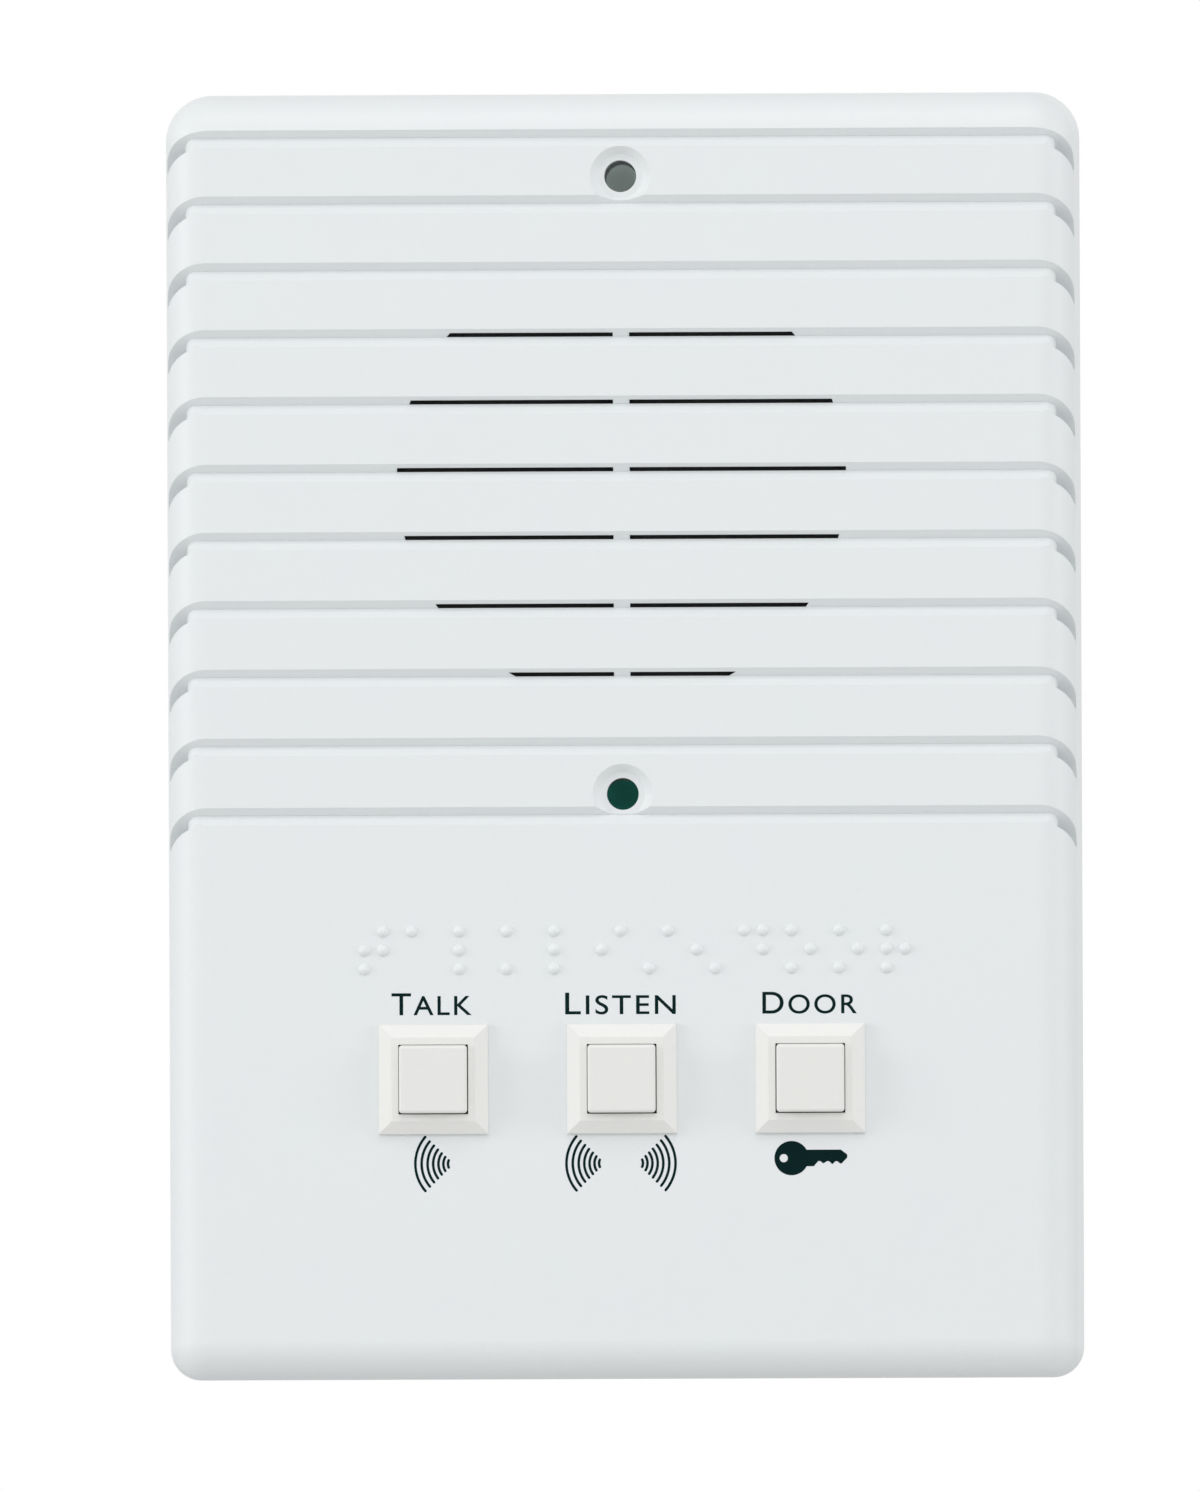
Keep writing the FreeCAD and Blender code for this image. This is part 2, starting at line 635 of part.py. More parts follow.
button_x = {
    "talk": "(button_shift - button_pitch)",
    "listen": "button_shift",
    "door": "(button_shift + button_pitch)",
}
cap_leans = {"talk": "-", "listen": "-", "door": "+"}
pin_places = [
    (f"{x} {side} pin_pitch / 2", f"button_height {end} pin_pitch / 2")
    for x in button_x.values()
    for side in "-+"
    for end in "-+"
]
plate_screw_places = screw_places(PLATE_SCREW_X, (PLATE_SCREW_TOP, PLATE_SCREW_BOTTOM))
board_screw_places = screw_places(BOARD_SCREW_X, (BOARD_SCREW_TOP, BOARD_SCREW_BOTTOM))
stud_places = [
    (f"{x} * {STUD_CIRCLE} * sin(45)", f"speaker_height + {z} * {STUD_CIRCLE} * sin(45)")
    for x, z in ((-1, -1), (1, -1), (1, 1), (-1, 1))
]


def front_cover():
    solid_block = drafted_block("cover_outside_block", "0", FACE)
    outer = rounded("cover_outside", solid_block, "front_edge_radius", 0)
    hollow = drafted_block("cover_hollow_block", "cover_wall", INSIDE)
    inner = rounded("cover_hollow", hollow, "inner_edge_radius", size("cover_wall"))
    shell = cut("cover_shell", outer, inner)
    root = f"{INSIDE} + cover_wall / 6"
    added = [shell]
    removed = [solid("louvre_grooves", groove_cutters()), speaker_slots()]
    for k, (x, z) in enumerate(plate_screw_places):
        added.append(cylinder(f"plate_post_{k}", x, z, "plate_post_radius", PLATE_FRONT, root))
        end = f"plate_recess + screw_length + pilot_spare"
        removed.append(cylinder(f"plate_pilot_{k}", x, z, "screw_radius + stud_grip", "0", end))
    for k, (x, z) in enumerate(board_screw_places):
        added.append(cylinder(f"board_post_{k}", x, z, "board_post_radius", BOARD_FRONT, root))
        end = f"{BOARD_BACK} + screw_length + pilot_spare"
        removed.append(cylinder(f"board_pilot_{k}", x, z, "screw_radius + stud_grip", "0", end))
    for k, (x, z) in enumerate(stud_places):
        stud_end = f"{FLANGE_BACK} - push_nut_thickness - stud_stand"
        added.append(cylinder(f"speaker_stud_{k}", x, z, "stud_radius", stud_end, root))
    added.append(cylinder("screw_tube", "0", UPPER_SCREW, "screw_tube_radius", PLATE_FRONT, root))
    collar_end = f"{INSIDE} - screw_collar_depth"
    added.append(cylinder("screw_collar", "0", LOWER_SCREW, "screw_tube_radius", collar_end, root))
    for side, z in (("upper", UPPER_SCREW), ("lower", LOWER_SCREW)):
        removed.append(cylinder(f"{side}_screw_hole", "0", z, "screw_hole_radius", "0", f"{FACE} + 1"))
        mouth = "2 * dish_radius - dish_seat_radius"
        seat, past = f"{FACE} - dish_depth", f"{FACE} + dish_depth"
        removed.append(cone(f"{side}_dish", "0", z, "dish_seat_radius", mouth, seat, past))
    opening = f"{BEZEL_NECK} + 2 * neck_clearance"
    for name, x in button_x.items():
        removed.append(
            box(f"{name}_opening", x, "button_height", opening, opening, f"{INSIDE} - 1", f"{FACE} + 1")
        )
    plain = cut("cover_plain", fuse("cover_solids", added), group("cover_cuts", removed))
    ball = "((braille_dot_radius^2 + braille_dot_height^2) / (2 * braille_dot_height))"
    dots = []
    for k, (x, z) in enumerate(braille_places()):
        dot = bind(doc.addObject("Part::Sphere", f"braille_dot_{k}"), {"Radius": ball})
        dots.append(place(dot, x, f"{FACE} + braille_dot_height - {ball}", z))
    nodes.append(fuse("front_cover", [plain] + dots))


def rounded_box(name, x, z, width, height, radius, back, front):
    """A box centred on (x, z) with its four edges along Y rounded."""
    block = box(f"{name}_block", x, z, width, height, back, front)
    block.recompute()
    made = doc.addObject("Part::Fillet", name)
    made.Base = block
    made.Edges = [(number, size(radius), size(radius)) for number in edges_along_depth(block.Shape)]
    return made


def edges_along_depth(shape):
    """Numbers of the straight edges that run along Y."""
    numbers = []
    for number, edge in enumerate(shape.Edges, start=1):
        ends = [vertex.Point for vertex in edge.Vertexes]
        if len(ends) == 2 and abs(abs(ends[0].y - ends[1].y) - edge.Length) < 1e-6:
            numbers.append(number)
    return numbers


def frustum(name, x, z, back_size, front_size, back, front):
    """A square frustum centred on (x, z) between two depths."""
    made = doc.addObject("Part::Wedge", name)
    cells = {"Ymin": f"-({front})", "Ymax": f"-({back})"}
    for axis in ("X", "Z"):
        cells.update({f"{axis}min": f"-({front_size}) / 2", f"{axis}max": f"({front_size}) / 2"})
        cells.update({f"{axis}2min": f"-({back_size}) / 2", f"{axis}2max": f"({back_size}) / 2"})
    return place(bind(made, cells), x, "0", z)


# Back plate and the screws that hold it


def back_plate():
    taper = f"2 * {PLATE_FRONT} * tan(draft_angle)"
    width = f"cover_width - 2 * cover_wall - 2 * plate_clearance - {taper}"
    height = f"cover_height - 2 * cover_wall - 2 * plate_clearance - {taper}"
    middle = "rim_top - cover_height / 2"
    sheet_depths = ("plate_recess", PLATE_FRONT)
    through = ("plate_recess - 1", f"{PLATE_FRONT} + 1")
    blank = rounded_box("plate_blank", "0", middle, width, height, "plate_corner_radius", *sheet_depths)
    openings = [
        rounded_box("cable_entry", "0", "0", "entry_width", "entry_height", "entry_corner_radius", *through),
        rounded_box(
            "terminal_window",
            "0",
            "block_middle",
            "block_width + 2 * window_side_margin",
            "block_height + 2 * window_end_margin",
            "entry_corner_radius",
            *through,
        ),
    ]
    for side, z in (("upper", UPPER_SCREW), ("lower", LOWER_SCREW)):
        openings.append(cylinder(f"{side}_plate_hole", "0", z, "plate_hole_radius", *through))
    for k, (x, z) in enumerate(plate_screw_places):
        openings.append(cylinder(f"plate_screw_hole_{k}", x, z, SCREW_PASS, *through))
    nodes.append(cut("back_plate", blank, group("plate_openings", openings)))
    nodes.append(screws("back_plate_screws", plate_screw_places, "plate_recess"))


# Loudspeaker, from the front to the back


def speaker_front():
    nodes.append(speaker_ring("dust_cloth", [disc_profile("speaker_radius", GASKET_FRONT, INSIDE)]))
    gasket = washer_profile(GASKET_INNER, "speaker_radius", RIM_FRONT, GASKET_FRONT)
    nodes.append(speaker_ring("speaker_gasket", [gasket]))


def surround():
    """A half roll with a flat glued rim outside it."""
    shells = []
    for part, radius in (("outside", "roll_radius"), ("inside", "roll_radius - rim_thickness")):
        torus = doc.addObject("Part::Torus", f"roll_{part}")
        bind(torus, {"Radius1": ROLL_MIDDLE, "Radius2": radius})
        torus.Placement.Rotation = Rotation(Vector(1, 0, 0), 90)
        shells.append(place(torus, "0", FLANGE_FRONT, "speaker_height"))
    reach = "2 * speaker_radius"
    front_half = box("roll_front", "0", "speaker_height", reach, reach, FLANGE_FRONT, INSIDE)
    roll = common("surround_roll", cut("roll_shell", *shells), front_half)
    inner = f"({ROLL_MIDDLE} + roll_radius - rim_thickness)"
    rim_profile = washer_profile(inner, "speaker_radius - rim_setback", FLANGE_FRONT, RIM_FRONT)
    nodes.append(fuse("cone_surround", [roll, speaker_ring("surround_rim", [rim_profile])]))


def basket():
    pressing = [
        ("speaker_radius", FLANGE_FRONT),
        (THROAT, FLANGE_FRONT),
        (BASKET_WALL_END, BASKET_FLOOR),
        (PLATE_BORE, BASKET_FLOOR),
        (PLATE_BORE, BASKET_BACK),
        ("basket_seat_radius", BASKET_BACK),
        (f"{THROAT} + flange_thickness", FLANGE_BACK),
        ("speaker_radius", FLANGE_BACK),
    ]
    ledge = washer_profile(LEDGE_INNER, BASKET_WALL_END, BASKET_FLOOR, SPIDER_SEAT)
    shell = speaker_ring("basket_pressing", [pressing, ledge])
    low, high = f"{SPIDER_SEAT} + flange_thickness", f"{FLANGE_BACK} - flange_thickness"
    long = f"2 * {THROAT} + 2 * flange_thickness"
    across = box("windows_across", "0", "speaker_height", long, "basket_window_width", low, high)
    upright = box("windows_upright", "0", "speaker_height", "basket_window_width", long, low, high)
    nodes.append(cut("speaker_basket", shell, fuse("basket_windows", [across, upright])))


def cone_and_coil():
    hole = f"{FORMER_OUTER} + glue_gap"
    cone_paper = [
        (hole, CONE_NECK),
        (CONE_EDGE, f"{FLANGE_FRONT} - cone_wall"),
        (CONE_EDGE, FLANGE_FRONT),
        (hole, f"{CONE_NECK} + cone_wall"),
    ]
    nodes.append(speaker_ring("speaker_cone", [cone_paper]))
    former_front = f"({CONE_NECK} + former_front)"
    winding_front = f"({BASKET_BACK} + winding_overhang)"
    winding_back = f"({TOP_PLATE_BACK} - winding_overhang)"
    former_back = f"({winding_back} - former_tail)"
    coil = [
        (FORMER_INNER, former_back),
        (FORMER_OUTER, former_back),
        (FORMER_OUTER, winding_back),
        (WINDING_OUTER, winding_back),
        (WINDING_OUTER, winding_front),
        (FORMER_OUTER, winding_front),
        (FORMER_OUTER, former_front),
        (FORMER_INNER, former_front),
    ]
    nodes.append(speaker_ring("voice_coil", [coil]))


def dust_cap():
    """A shallow dome seated on the front of the cone."""
    rise = f"({FLANGE_FRONT} - {CONE_NECK} - cone_wall) / ({CONE_EDGE} - {FORMER_OUTER})"
    seat = f"({CONE_NECK} + cone_wall + dust_cap_overlap * {rise})"
    ball = f"(({DUST_CAP_RIM}^2 + dust_cap_height^2) / (2 * dust_cap_height))"
    shells = []
    for part, radius in (("outside", ball), ("inside", f"{ball} - dust_cap_wall")):
        dome = bind(doc.addObject("Part::Sphere", f"dust_cap_{part}"), {"Radius": radius})
        shells.append(place(dome, "0", f"{seat} + dust_cap_height - {ball}", "speaker_height"))
    reach = f"3 * {DUST_CAP_RIM}"
    front = box("dust_cap_front", "0", "speaker_height", reach, reach, seat, FACE)
    nodes.append(common("dust_cap", cut("dust_cap_shell", *shells), front))


def spider():
    """A pleated cloth washer between the voice coil and the ledge of the basket."""
    inner = f"({FORMER_OUTER} + glue_gap)"
    steps = 2 * int(size("spider_pleats"))
    low_side = [(inner, SPIDER_SEAT)]
    for k in range(1, steps):
        radius = f"{inner} + ({LEDGE_INNER} - {inner}) * {k} / {steps}"
        low_side.append((radius, f"{SPIDER_SEAT} + {k % 2} * spider_pleat_height"))
    low_side += [(LEDGE_INNER, SPIDER_SEAT), (BASKET_WALL_END, SPIDER_SEAT)]
    high_side = [(radius, f"{depth} + spider_thickness") for radius, depth in reversed(low_side)]
    nodes.append(speaker_ring("speaker_spider", [low_side + high_side]))


def magnet_system():
    top = washer_profile(PLATE_BORE, "top_plate_radius", TOP_PLATE_BACK, BASKET_BACK)
    nodes.append(speaker_ring("speaker_top_plate", [top]))
    bore, edge = f"{PLATE_BORE} + magnet_bore_step", "top_plate_radius + magnet_overhang"
    nodes.append(speaker_ring("speaker_magnet", [washer_profile(bore, edge, MAGNET_BACK, TOP_PLATE_BACK)]))
    yoke = [
        ("0", YOKE_BACK),
        ("top_plate_radius", YOKE_BACK),
        ("top_plate_radius", MAGNET_BACK),
        ("pole_radius", MAGNET_BACK),
        ("pole_radius", BASKET_BACK),
        ("0", BASKET_BACK),
    ]
    nodes.append(speaker_ring("speaker_yoke", [yoke]))


def speaker_fixing():
    """Push nuts on the cover's studs, and the tag strip on the flange."""
    nuts = body("speaker_push_nuts")
    drawing = sketch(nuts, "XZ_Plane", f"{FLANGE_BACK} - push_nut_thickness")
    for x, z in stud_places:
        ring(drawing, x, z, "push_nut_radius")
        ring(drawing, x, z, "stud_radius + stud_grip")
    pad(nuts, drawing, "push_nut_thickness")
    nodes.append(nuts)
    strip = box("speaker_tag_strip", "0", STRIP_Z, "strip_width", "strip_height", STRIP_BACK, FLANGE_BACK)
    nodes.append(strip)
    tag_depths = (f"{STRIP_BACK} - tag_length", STRIP_BACK)
    tags = [
        box(f"solder_tag_{side}", x, STRIP_Z, "tag_width", "tag_thickness", *tag_depths)
        for side, x in (("left", "-tag_x"), ("right", "tag_x"))
    ]
    nodes.append(group("speaker_solder_tags", tags))


# Push-buttons: bezel, cap, plunger, return spring and switch for each


def bezel(name, x):
    lip_front, top = "(cover_depth + bezel_lip)", "(cover_depth + bezel_rise)"
    neck_back = f"({INSIDE} - bezel_reach)"
    pieces = [
        box(f"{name}_lip", x, "button_height", BEZEL_SIZE, BEZEL_SIZE, FACE, lip_front),
        frustum(f"{name}_slope", x, "button_height", BEZEL_SIZE, BEZEL_TOP, lip_front, top),
        box(f"{name}_neck", x, "button_height", BEZEL_NECK, BEZEL_NECK, neck_back, FACE),
        barb(f"{name}_barb_left", x, -1),
        barb(f"{name}_barb_right", x, 1),
    ]
    through = (f"{neck_back} - 1", f"{top} + 1")
    opening = box(f"{name}_inside", x, "button_height", CAP_OPENING, CAP_OPENING, *through)
    nodes.append(cut(f"{name}_bezel", fuse(f"{name}_frame", pieces), opening))


def barb(name, x, side):
    """A wedge on the left (-1) or right (1) of a bezel's neck, thickest behind the cover's wall."""
    front = f"({INSIDE} - snap_gap)"
    root = f"({BEZEL_NECK} / 2 - snap_gap)"
    thick, thin = f"{BEZEL_NECK} / 2 + snap_barb", f"{BEZEL_NECK} / 2"
    reach = {"Xmin": root, "Xmax": thick, "X2min": root, "X2max": thin}
    if side < 0:
        reach = {"Xmin": f"-({thick})", "Xmax": f"-{root}", "X2min": f"-({thin})", "X2max": f"-{root}"}
    made = doc.addObject("Part::Wedge", name)
    bind(made, {"Ymin": f"-{front}", "Ymax": f"snap_length - {front}", **reach})
    bind(made, {"Zmin": "-snap_width / 2", "Zmax": "snap_width / 2"})
    bind(made, {"Z2min": "-snap_width / 2", "Z2max": "snap_width / 2"})
    return place(made, x, "0", "button_height")


def button_cap(name, x):
    host = body(f"{name}_button")
    skirt_end = f"({CAP_FRONT} - button_skirt)"
    under = f"{CAP_FRONT} - button_wall"
    block = sketch(host, "XZ_Plane", skirt_end)
    square(block, "0", "0", "button_size", "button_size")
    solid_cap = pad(host, block, "button_skirt")
    doc.recompute()
    front_y = solid_cap.Shape.BoundBox.YMin
    rounded_edges = [
        f"Edge{number}"
        for number, edge in enumerate(solid_cap.Shape.Edges, start=1)
        if min(vertex.Point.y for vertex in edge.Vertexes) < front_y + 1e-6
    ]
    softened = host.newObject("PartDesign::Fillet", f"{name}_button_edges")
    softened.Base = (solid_cap, rounded_edges)
    bind(softened, {"Radius": "button_edge_radius"})
    cavity = sketch(host, "XZ_Plane", skirt_end)
    square(cavity, "0", "0", "button_size - 2 * button_wall", "button_size - 2 * button_wall")
    pocket(host, cavity, f"{under} - {skirt_end}")
    stem = sketch(host, "XZ_Plane", PLUNGER_FRONT)
    ring(stem, "0", "0", "stem_radius")
    pad(host, stem, f"{under} - {PLUNGER_FRONT}")
    nodes.append(place(host, f"{x} {cap_leans[name]} button_lean", "0", "button_height + button_lift"))


def plunger(name, x):
    profile = disc_profile("plunger_radius", PLUNGER_BACK, PLUNGER_FRONT)
    nodes.append(turned(f"{name}_plunger", [profile], x, "button_height"))


def return_spring(name):
    """A coil spring between the floor of the switch and the plunger."""
    pressed_by = doc.getObject(f"{name}_plunger")
    doc.recompute()
    middle = pressed_by.Shape.BoundBox.Center
    wire, radius = size("spring_wire"), size("plunger_radius") - size("spring_inset")
    seat = -doc.getObject(f"{name}_switch").Shape.BoundBox.YMax + size("switch_floor")
    height = -pressed_by.Shape.BoundBox.YMax - seat - 2 * wire
    helix = Part.makeHelix(height / size("spring_turns"), height, radius)
    section = Part.Wire(Part.makeCircle(wire, Vector(radius, 0, 0), Vector(0, 1, 0)))
    coil = Part.Wire(helix.Edges).makePipeShell([section], True, True)
    coil.rotate(Vector(0, 0, 0), Vector(1, 0, 0), 90)
    coil.translate(Vector(middle.x, -seat - wire, middle.z))
    nodes.append(solid(f"{name}_return_spring", coil))


def switch(name, x):
    host = body(f"{name}_switch")
    block = sketch(host, "XZ_Plane", BOARD_FRONT)
    square(block, "0", "0", "switch_size", "switch_size")
    pad(host, block, "switch_height")
    bore = sketch(host, "XZ_Plane", SPRING_SEAT)
    ring(bore, "0", "0", "plunger_radius + plunger_fit")
    pocket(host, bore, "switch_height")
    nodes.append(place(host, x, "0", "button_height"))


def push_buttons():
    for name, x in button_x.items():
        bezel(name, x)
        button_cap(name, x)
        plunger(name, x)
        switch(name, x)
        return_spring(name)
    pin_end = f"{BOARD_BACK} - pin_stand"
    pins = [
        box(f"switch_pin_{k}", x, z, "pin_width", "pin_thickness", pin_end, BOARD_FRONT)
        for k, (x, z) in enumerate(pin_places)
    ]
    nodes.append(group("switch_pins", pins))


# Circuit board and what is soldered to it


def circuit_board():
    host = body("circuit_board")
    drawing = sketch(host, "XZ_Plane", BOARD_BACK)
    middle, height = f"({BOARD_TOP} + {BOARD_BOTTOM}) / 2", f"{BOARD_TOP} - {BOARD_BOTTOM}"
    square(drawing, "0", middle, f"2 * {BOARD_HALF_WIDTH}", height)
    ring(drawing, "0", f"{LOWER_SCREW} - board_hole_drop", "board_hole_radius")
    for x, z in board_screw_places:
        ring(drawing, x, z, SCREW_PASS)
    for x, z in pin_places:
        ring(drawing, x, z, "pin_hole_radius")
    blank = pad(host, drawing, "board_thickness")
    doc.recompute()
    corners = host.newObject("PartDesign::Fillet", "board_corners")
    corners.Base = (blank, [f"Edge{number}" for number in edges_along_depth(blank.Shape)[:4]])
    bind(corners, {"Radius": "board_corner_radius"})
    nodes.append(host)
    nodes.append(screws("board_screws", board_screw_places, BOARD_BACK))


def terminal_block():
    """A block behind the board; its screws are reached from the back through wells."""
    back = f"({BOARD_BACK} - block_thickness)"
    well_floor = f"({back} + block_well_depth)"
    head_back = f"({well_floor} - terminal_screw_height)"
    entry_back = f"({well_floor} + block_entry_step)"
    entry_z = "block_middle + block_height / 4 + 0.5"
    z = "block_middle"
    block = box("block_body", "0", z, "block_width", "block_height", back, BOARD_BACK)
    holes, heads, slots = [], [], []
    count = int(size("block_ways"))
    for k in range(count):
        x = f"({k} - {count - 1} / 2) * block_pitch"
        entry_depths = (entry_back, f"{entry_back} + wire_hole_size")
        slot_depths = (f"{head_back} - 1", f"{head_back} + screw_slot_depth")
        holes += [
            cylinder(f"screw_well_{k}", x, z, "block_well_radius", f"{back} - 1", well_floor),
            box(f"wire_entry_{k}", x, entry_z, "wire_hole_size", "block_height / 2 + 1", *entry_depths),
        ]
        heads.append(cylinder(f"terminal_head_{k}", x, z, "terminal_screw_radius", head_back, well_floor))
        slot_size = ("4 * terminal_screw_radius", "screw_slot_width")
        slots.append(box(f"terminal_slot_{k}", x, z, *slot_size, *slot_depths))
    nodes.append(cut("terminal_block", block, group("block_holes", holes)))
    nodes.append(cut("terminal_screws", group("terminal_heads", heads), group("terminal_slots", slots)))


def capacitor():
    front, edge = f"({BOARD_FRONT} + capacitor_length)", "capacitor_edge"
    can = [
        ("0", BOARD_FRONT),
        ("capacitor_radius", BOARD_FRONT),
        ("capacitor_radius", f"{front} - {edge}"),
        (f"capacitor_radius - {edge}", front),
        ("0", front),
    ]
    nodes.append(turned("board_capacitor", [can], "capacitor_x", "capacitor_z"))


def rod_along_x(name, length, radius, depth, z):
    """A round rod along X, centred on the resistors' column."""
    made = doc.addObject("Part::Cylinder", name)
    bind(made, {"Radius": radius, "Height": length})
    made.Placement.Rotation = Rotation(Vector(0, 1, 0), 90)
    return place(made, f"resistor_x - {length} / 2", depth, z)


def resistors():
    axis = f"({BOARD_FRONT} + resistor_lift)"
    made = []
    for k in range(int(size("resistor_count"))):
        z = f"resistor_z - {k} * resistor_pitch"
        pieces = [
            rod_along_x(f"resistor_barrel_{k}", "resistor_length", "resistor_radius", axis, z),
            rod_along_x(f"resistor_wire_{k}", "resistor_span", "resistor_lead_radius", axis, z),
        ]
        for side, sign in (("left", "-"), ("right", "+")):
            x = f"resistor_x {sign} resistor_span / 2"
            pieces.append(
                cylinder(f"resistor_leg_{side}_{k}", x, z, "resistor_lead_radius", BOARD_FRONT, axis)
            )
        made.append(fuse(f"resistor_{k}", pieces))
    nodes.append(group("board_resistors", made))


# Speaker leads, from the solder tags to the board


def tangent_path(points):
    """Straight runs joined by arcs, each as large as its two runs allow."""
    share = 0.45
    edges, start = [], points[0]
    for before, corner, after in zip(points, points[1:], points[2:]):
        inward, outward = (corner - before), (after - corner)
        reach = share * min(inward.Length, outward.Length)
        inward.normalize()
        outward.normalize()
        arc_start, arc_end = corner - inward * reach, corner + outward * reach
        bisector = (outward - inward).normalize()
        half_turn = inward.getAngle(outward) / 2
        radius = reach / math.tan(half_turn)
        centre = corner + bisector * (radius / math.cos(half_turn))
        edges.append(Part.LineSegment(start, arc_start).toShape())
        edges.append(Part.Arc(arc_start, centre - bisector * radius, arc_end).toShape())
        start = arc_end
        print(f"lead bend radius {radius:.2f} mm")
    edges.append(Part.LineSegment(start, points[-1]).toShape())
    return Part.Wire(edges)


def speaker_lead(name, side, sign):
    """A lead that leaves its solder tag backwards and turns down to a hole in the board."""
    doc.recompute()
    tag = doc.getObject(f"solder_tag_{side}").Shape.BoundBox
    board_front = doc.getObject("circuit_board").Shape.BoundBox.YMin
    steps = [(0, 2.6, 0), (0.4, 4.7, -2.3), (1.3, 5.2, -5.5), (2.8, 4.9, -9.2), (4.4, 5.1, -12.8)]
    route = [Vector(tag.Center.x, tag.YMax, tag.Center.z)]
    route += [route[0] + Vector(sign * across, back, rise) for across, back, rise in steps]
    route.append(Vector(route[-1].x, board_front, route[-1].z))
    path = tangent_path(route)
    start = Part.makeCircle(size("lead_radius"), route[0], Vector(0, 1, 0))
    tube = path.makePipeShell([Part.Wire(start)], True, True)
    plain_volume = math.pi * size("lead_radius") ** 2 * path.Length
    print(f"{name}: volume is {tube.Volume / plain_volume:.4f} of section times length")
    nodes.append(solid(name, tube))


front_cover()
back_plate()
speaker_front()
surround()
basket()
cone_and_coil()
dust_cap()
spider()
magnet_system()
speaker_fixing()
push_buttons()
circuit_board()
terminal_block()
capacitor()
resistors()
speaker_lead("red_speaker_lead", "right", 1)
speaker_lead("black_speaker_lead", "left", -1)

doc.recompute()
for item in doc.Objects:
    if "Invalid" in item.State or "Error" in item.State:
        raise RuntimeError(f"{item.Label} failed: {item.State}")
for node in nodes:
    if node.Shape.isNull() or not node.Shape.isValid() or not node.Shape.Solids:
        raise RuntimeError(f"{node.Label} has no valid solid")

os.makedirs("parts", exist_ok=True)
for node in nodes:
    node.Shape.exportStep(f"parts/{node.Label}.step")
    print(f"{node.Label}: {len(node.Shape.Solids)} solids, {node.Shape.Volume:.1f} mm3")
print(len(nodes), "nodes")
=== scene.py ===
import json
import math

import bmesh
import bpy
from mathutils import Matrix, Quaternion, Vector

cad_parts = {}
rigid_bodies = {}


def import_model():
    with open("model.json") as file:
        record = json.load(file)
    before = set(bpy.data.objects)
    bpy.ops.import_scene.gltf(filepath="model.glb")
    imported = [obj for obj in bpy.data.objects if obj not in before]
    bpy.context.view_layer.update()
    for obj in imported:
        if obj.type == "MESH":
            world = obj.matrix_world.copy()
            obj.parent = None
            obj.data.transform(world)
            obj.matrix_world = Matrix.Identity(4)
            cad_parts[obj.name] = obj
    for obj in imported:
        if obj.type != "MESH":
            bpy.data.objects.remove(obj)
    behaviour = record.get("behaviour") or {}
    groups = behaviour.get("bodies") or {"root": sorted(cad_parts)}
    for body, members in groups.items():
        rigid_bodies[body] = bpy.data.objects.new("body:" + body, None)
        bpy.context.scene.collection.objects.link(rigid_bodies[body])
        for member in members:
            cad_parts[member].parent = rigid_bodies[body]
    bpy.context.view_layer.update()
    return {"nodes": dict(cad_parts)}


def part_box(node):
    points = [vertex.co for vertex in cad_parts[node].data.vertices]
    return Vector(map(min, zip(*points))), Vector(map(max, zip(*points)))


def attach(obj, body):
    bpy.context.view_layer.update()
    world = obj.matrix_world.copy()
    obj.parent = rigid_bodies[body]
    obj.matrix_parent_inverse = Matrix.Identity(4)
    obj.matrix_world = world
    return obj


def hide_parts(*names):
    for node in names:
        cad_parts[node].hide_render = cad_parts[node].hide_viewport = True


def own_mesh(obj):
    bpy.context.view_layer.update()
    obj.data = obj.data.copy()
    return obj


# Looks of a wall-mounted door intercom station: finishes, return springs, printed legends,
# solder and copper on the board, light and camera.
# Metres, +Z up, the wall is the plane y = 0 and the front faces -Y.

mm = 0.001

for leftover in list(bpy.data.objects):
    bpy.data.objects.remove(leftover)
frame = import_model()
nodes = frame["nodes"]
print("frame loaded:", len(nodes), "nodes")

buttonNames = ("talk", "listen", "door")


def eachButton(kind):
    return [f"{name}_{kind}" for name in buttonNames]


def middleOf(node):
    # x and z of the middle of a node's box
    low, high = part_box(node)
    return (low[0] + high[0]) / 2, (low[2] + high[2]) / 2


# Shader graphs

# sockets of the Mix node that it uses for colours
mixSockets = {"factor": 0, "first": 6, "second": 7, "result": 2}
bevelSamples = 6


class Wire:
    # a node's output, on which plain arithmetic adds Math nodes
    def __init__(self, graph, socket):
        self.graph = graph
        self.socket = socket

    def mathNode(self, operation, first, second=0.0):
        return self.graph.node("ShaderNodeMath", {"operation": operation}, {0: first, 1: second})

    def __add__(self, other):
        return self.mathNode("ADD", self, other)

    def __sub__(self, other):
        return self.mathNode("SUBTRACT", self, other)

    def __rsub__(self, other):
        return self.mathNode("SUBTRACT", other, self)

    def __mul__(self, other):
        return self.mathNode("MULTIPLY", self, other)

    def __lt__(self, other):
        return self.mathNode("LESS_THAN", self, other)

    def __gt__(self, other):
        return self.mathNode("GREATER_THAN", self, other)

    def __abs__(self):
        return self.mathNode("ABSOLUTE", self)

    def wave(self, pitch):
        # a sine along this value with one crest per pitch
        return self.mathNode("SINE", self * (math.tau / pitch))

    def raised(self):
        # a value between -1 and 1 brought between 0 and 1
        return 0.5 + 0.5 * self

    __radd__ = __add__
    __rmul__ = __mul__


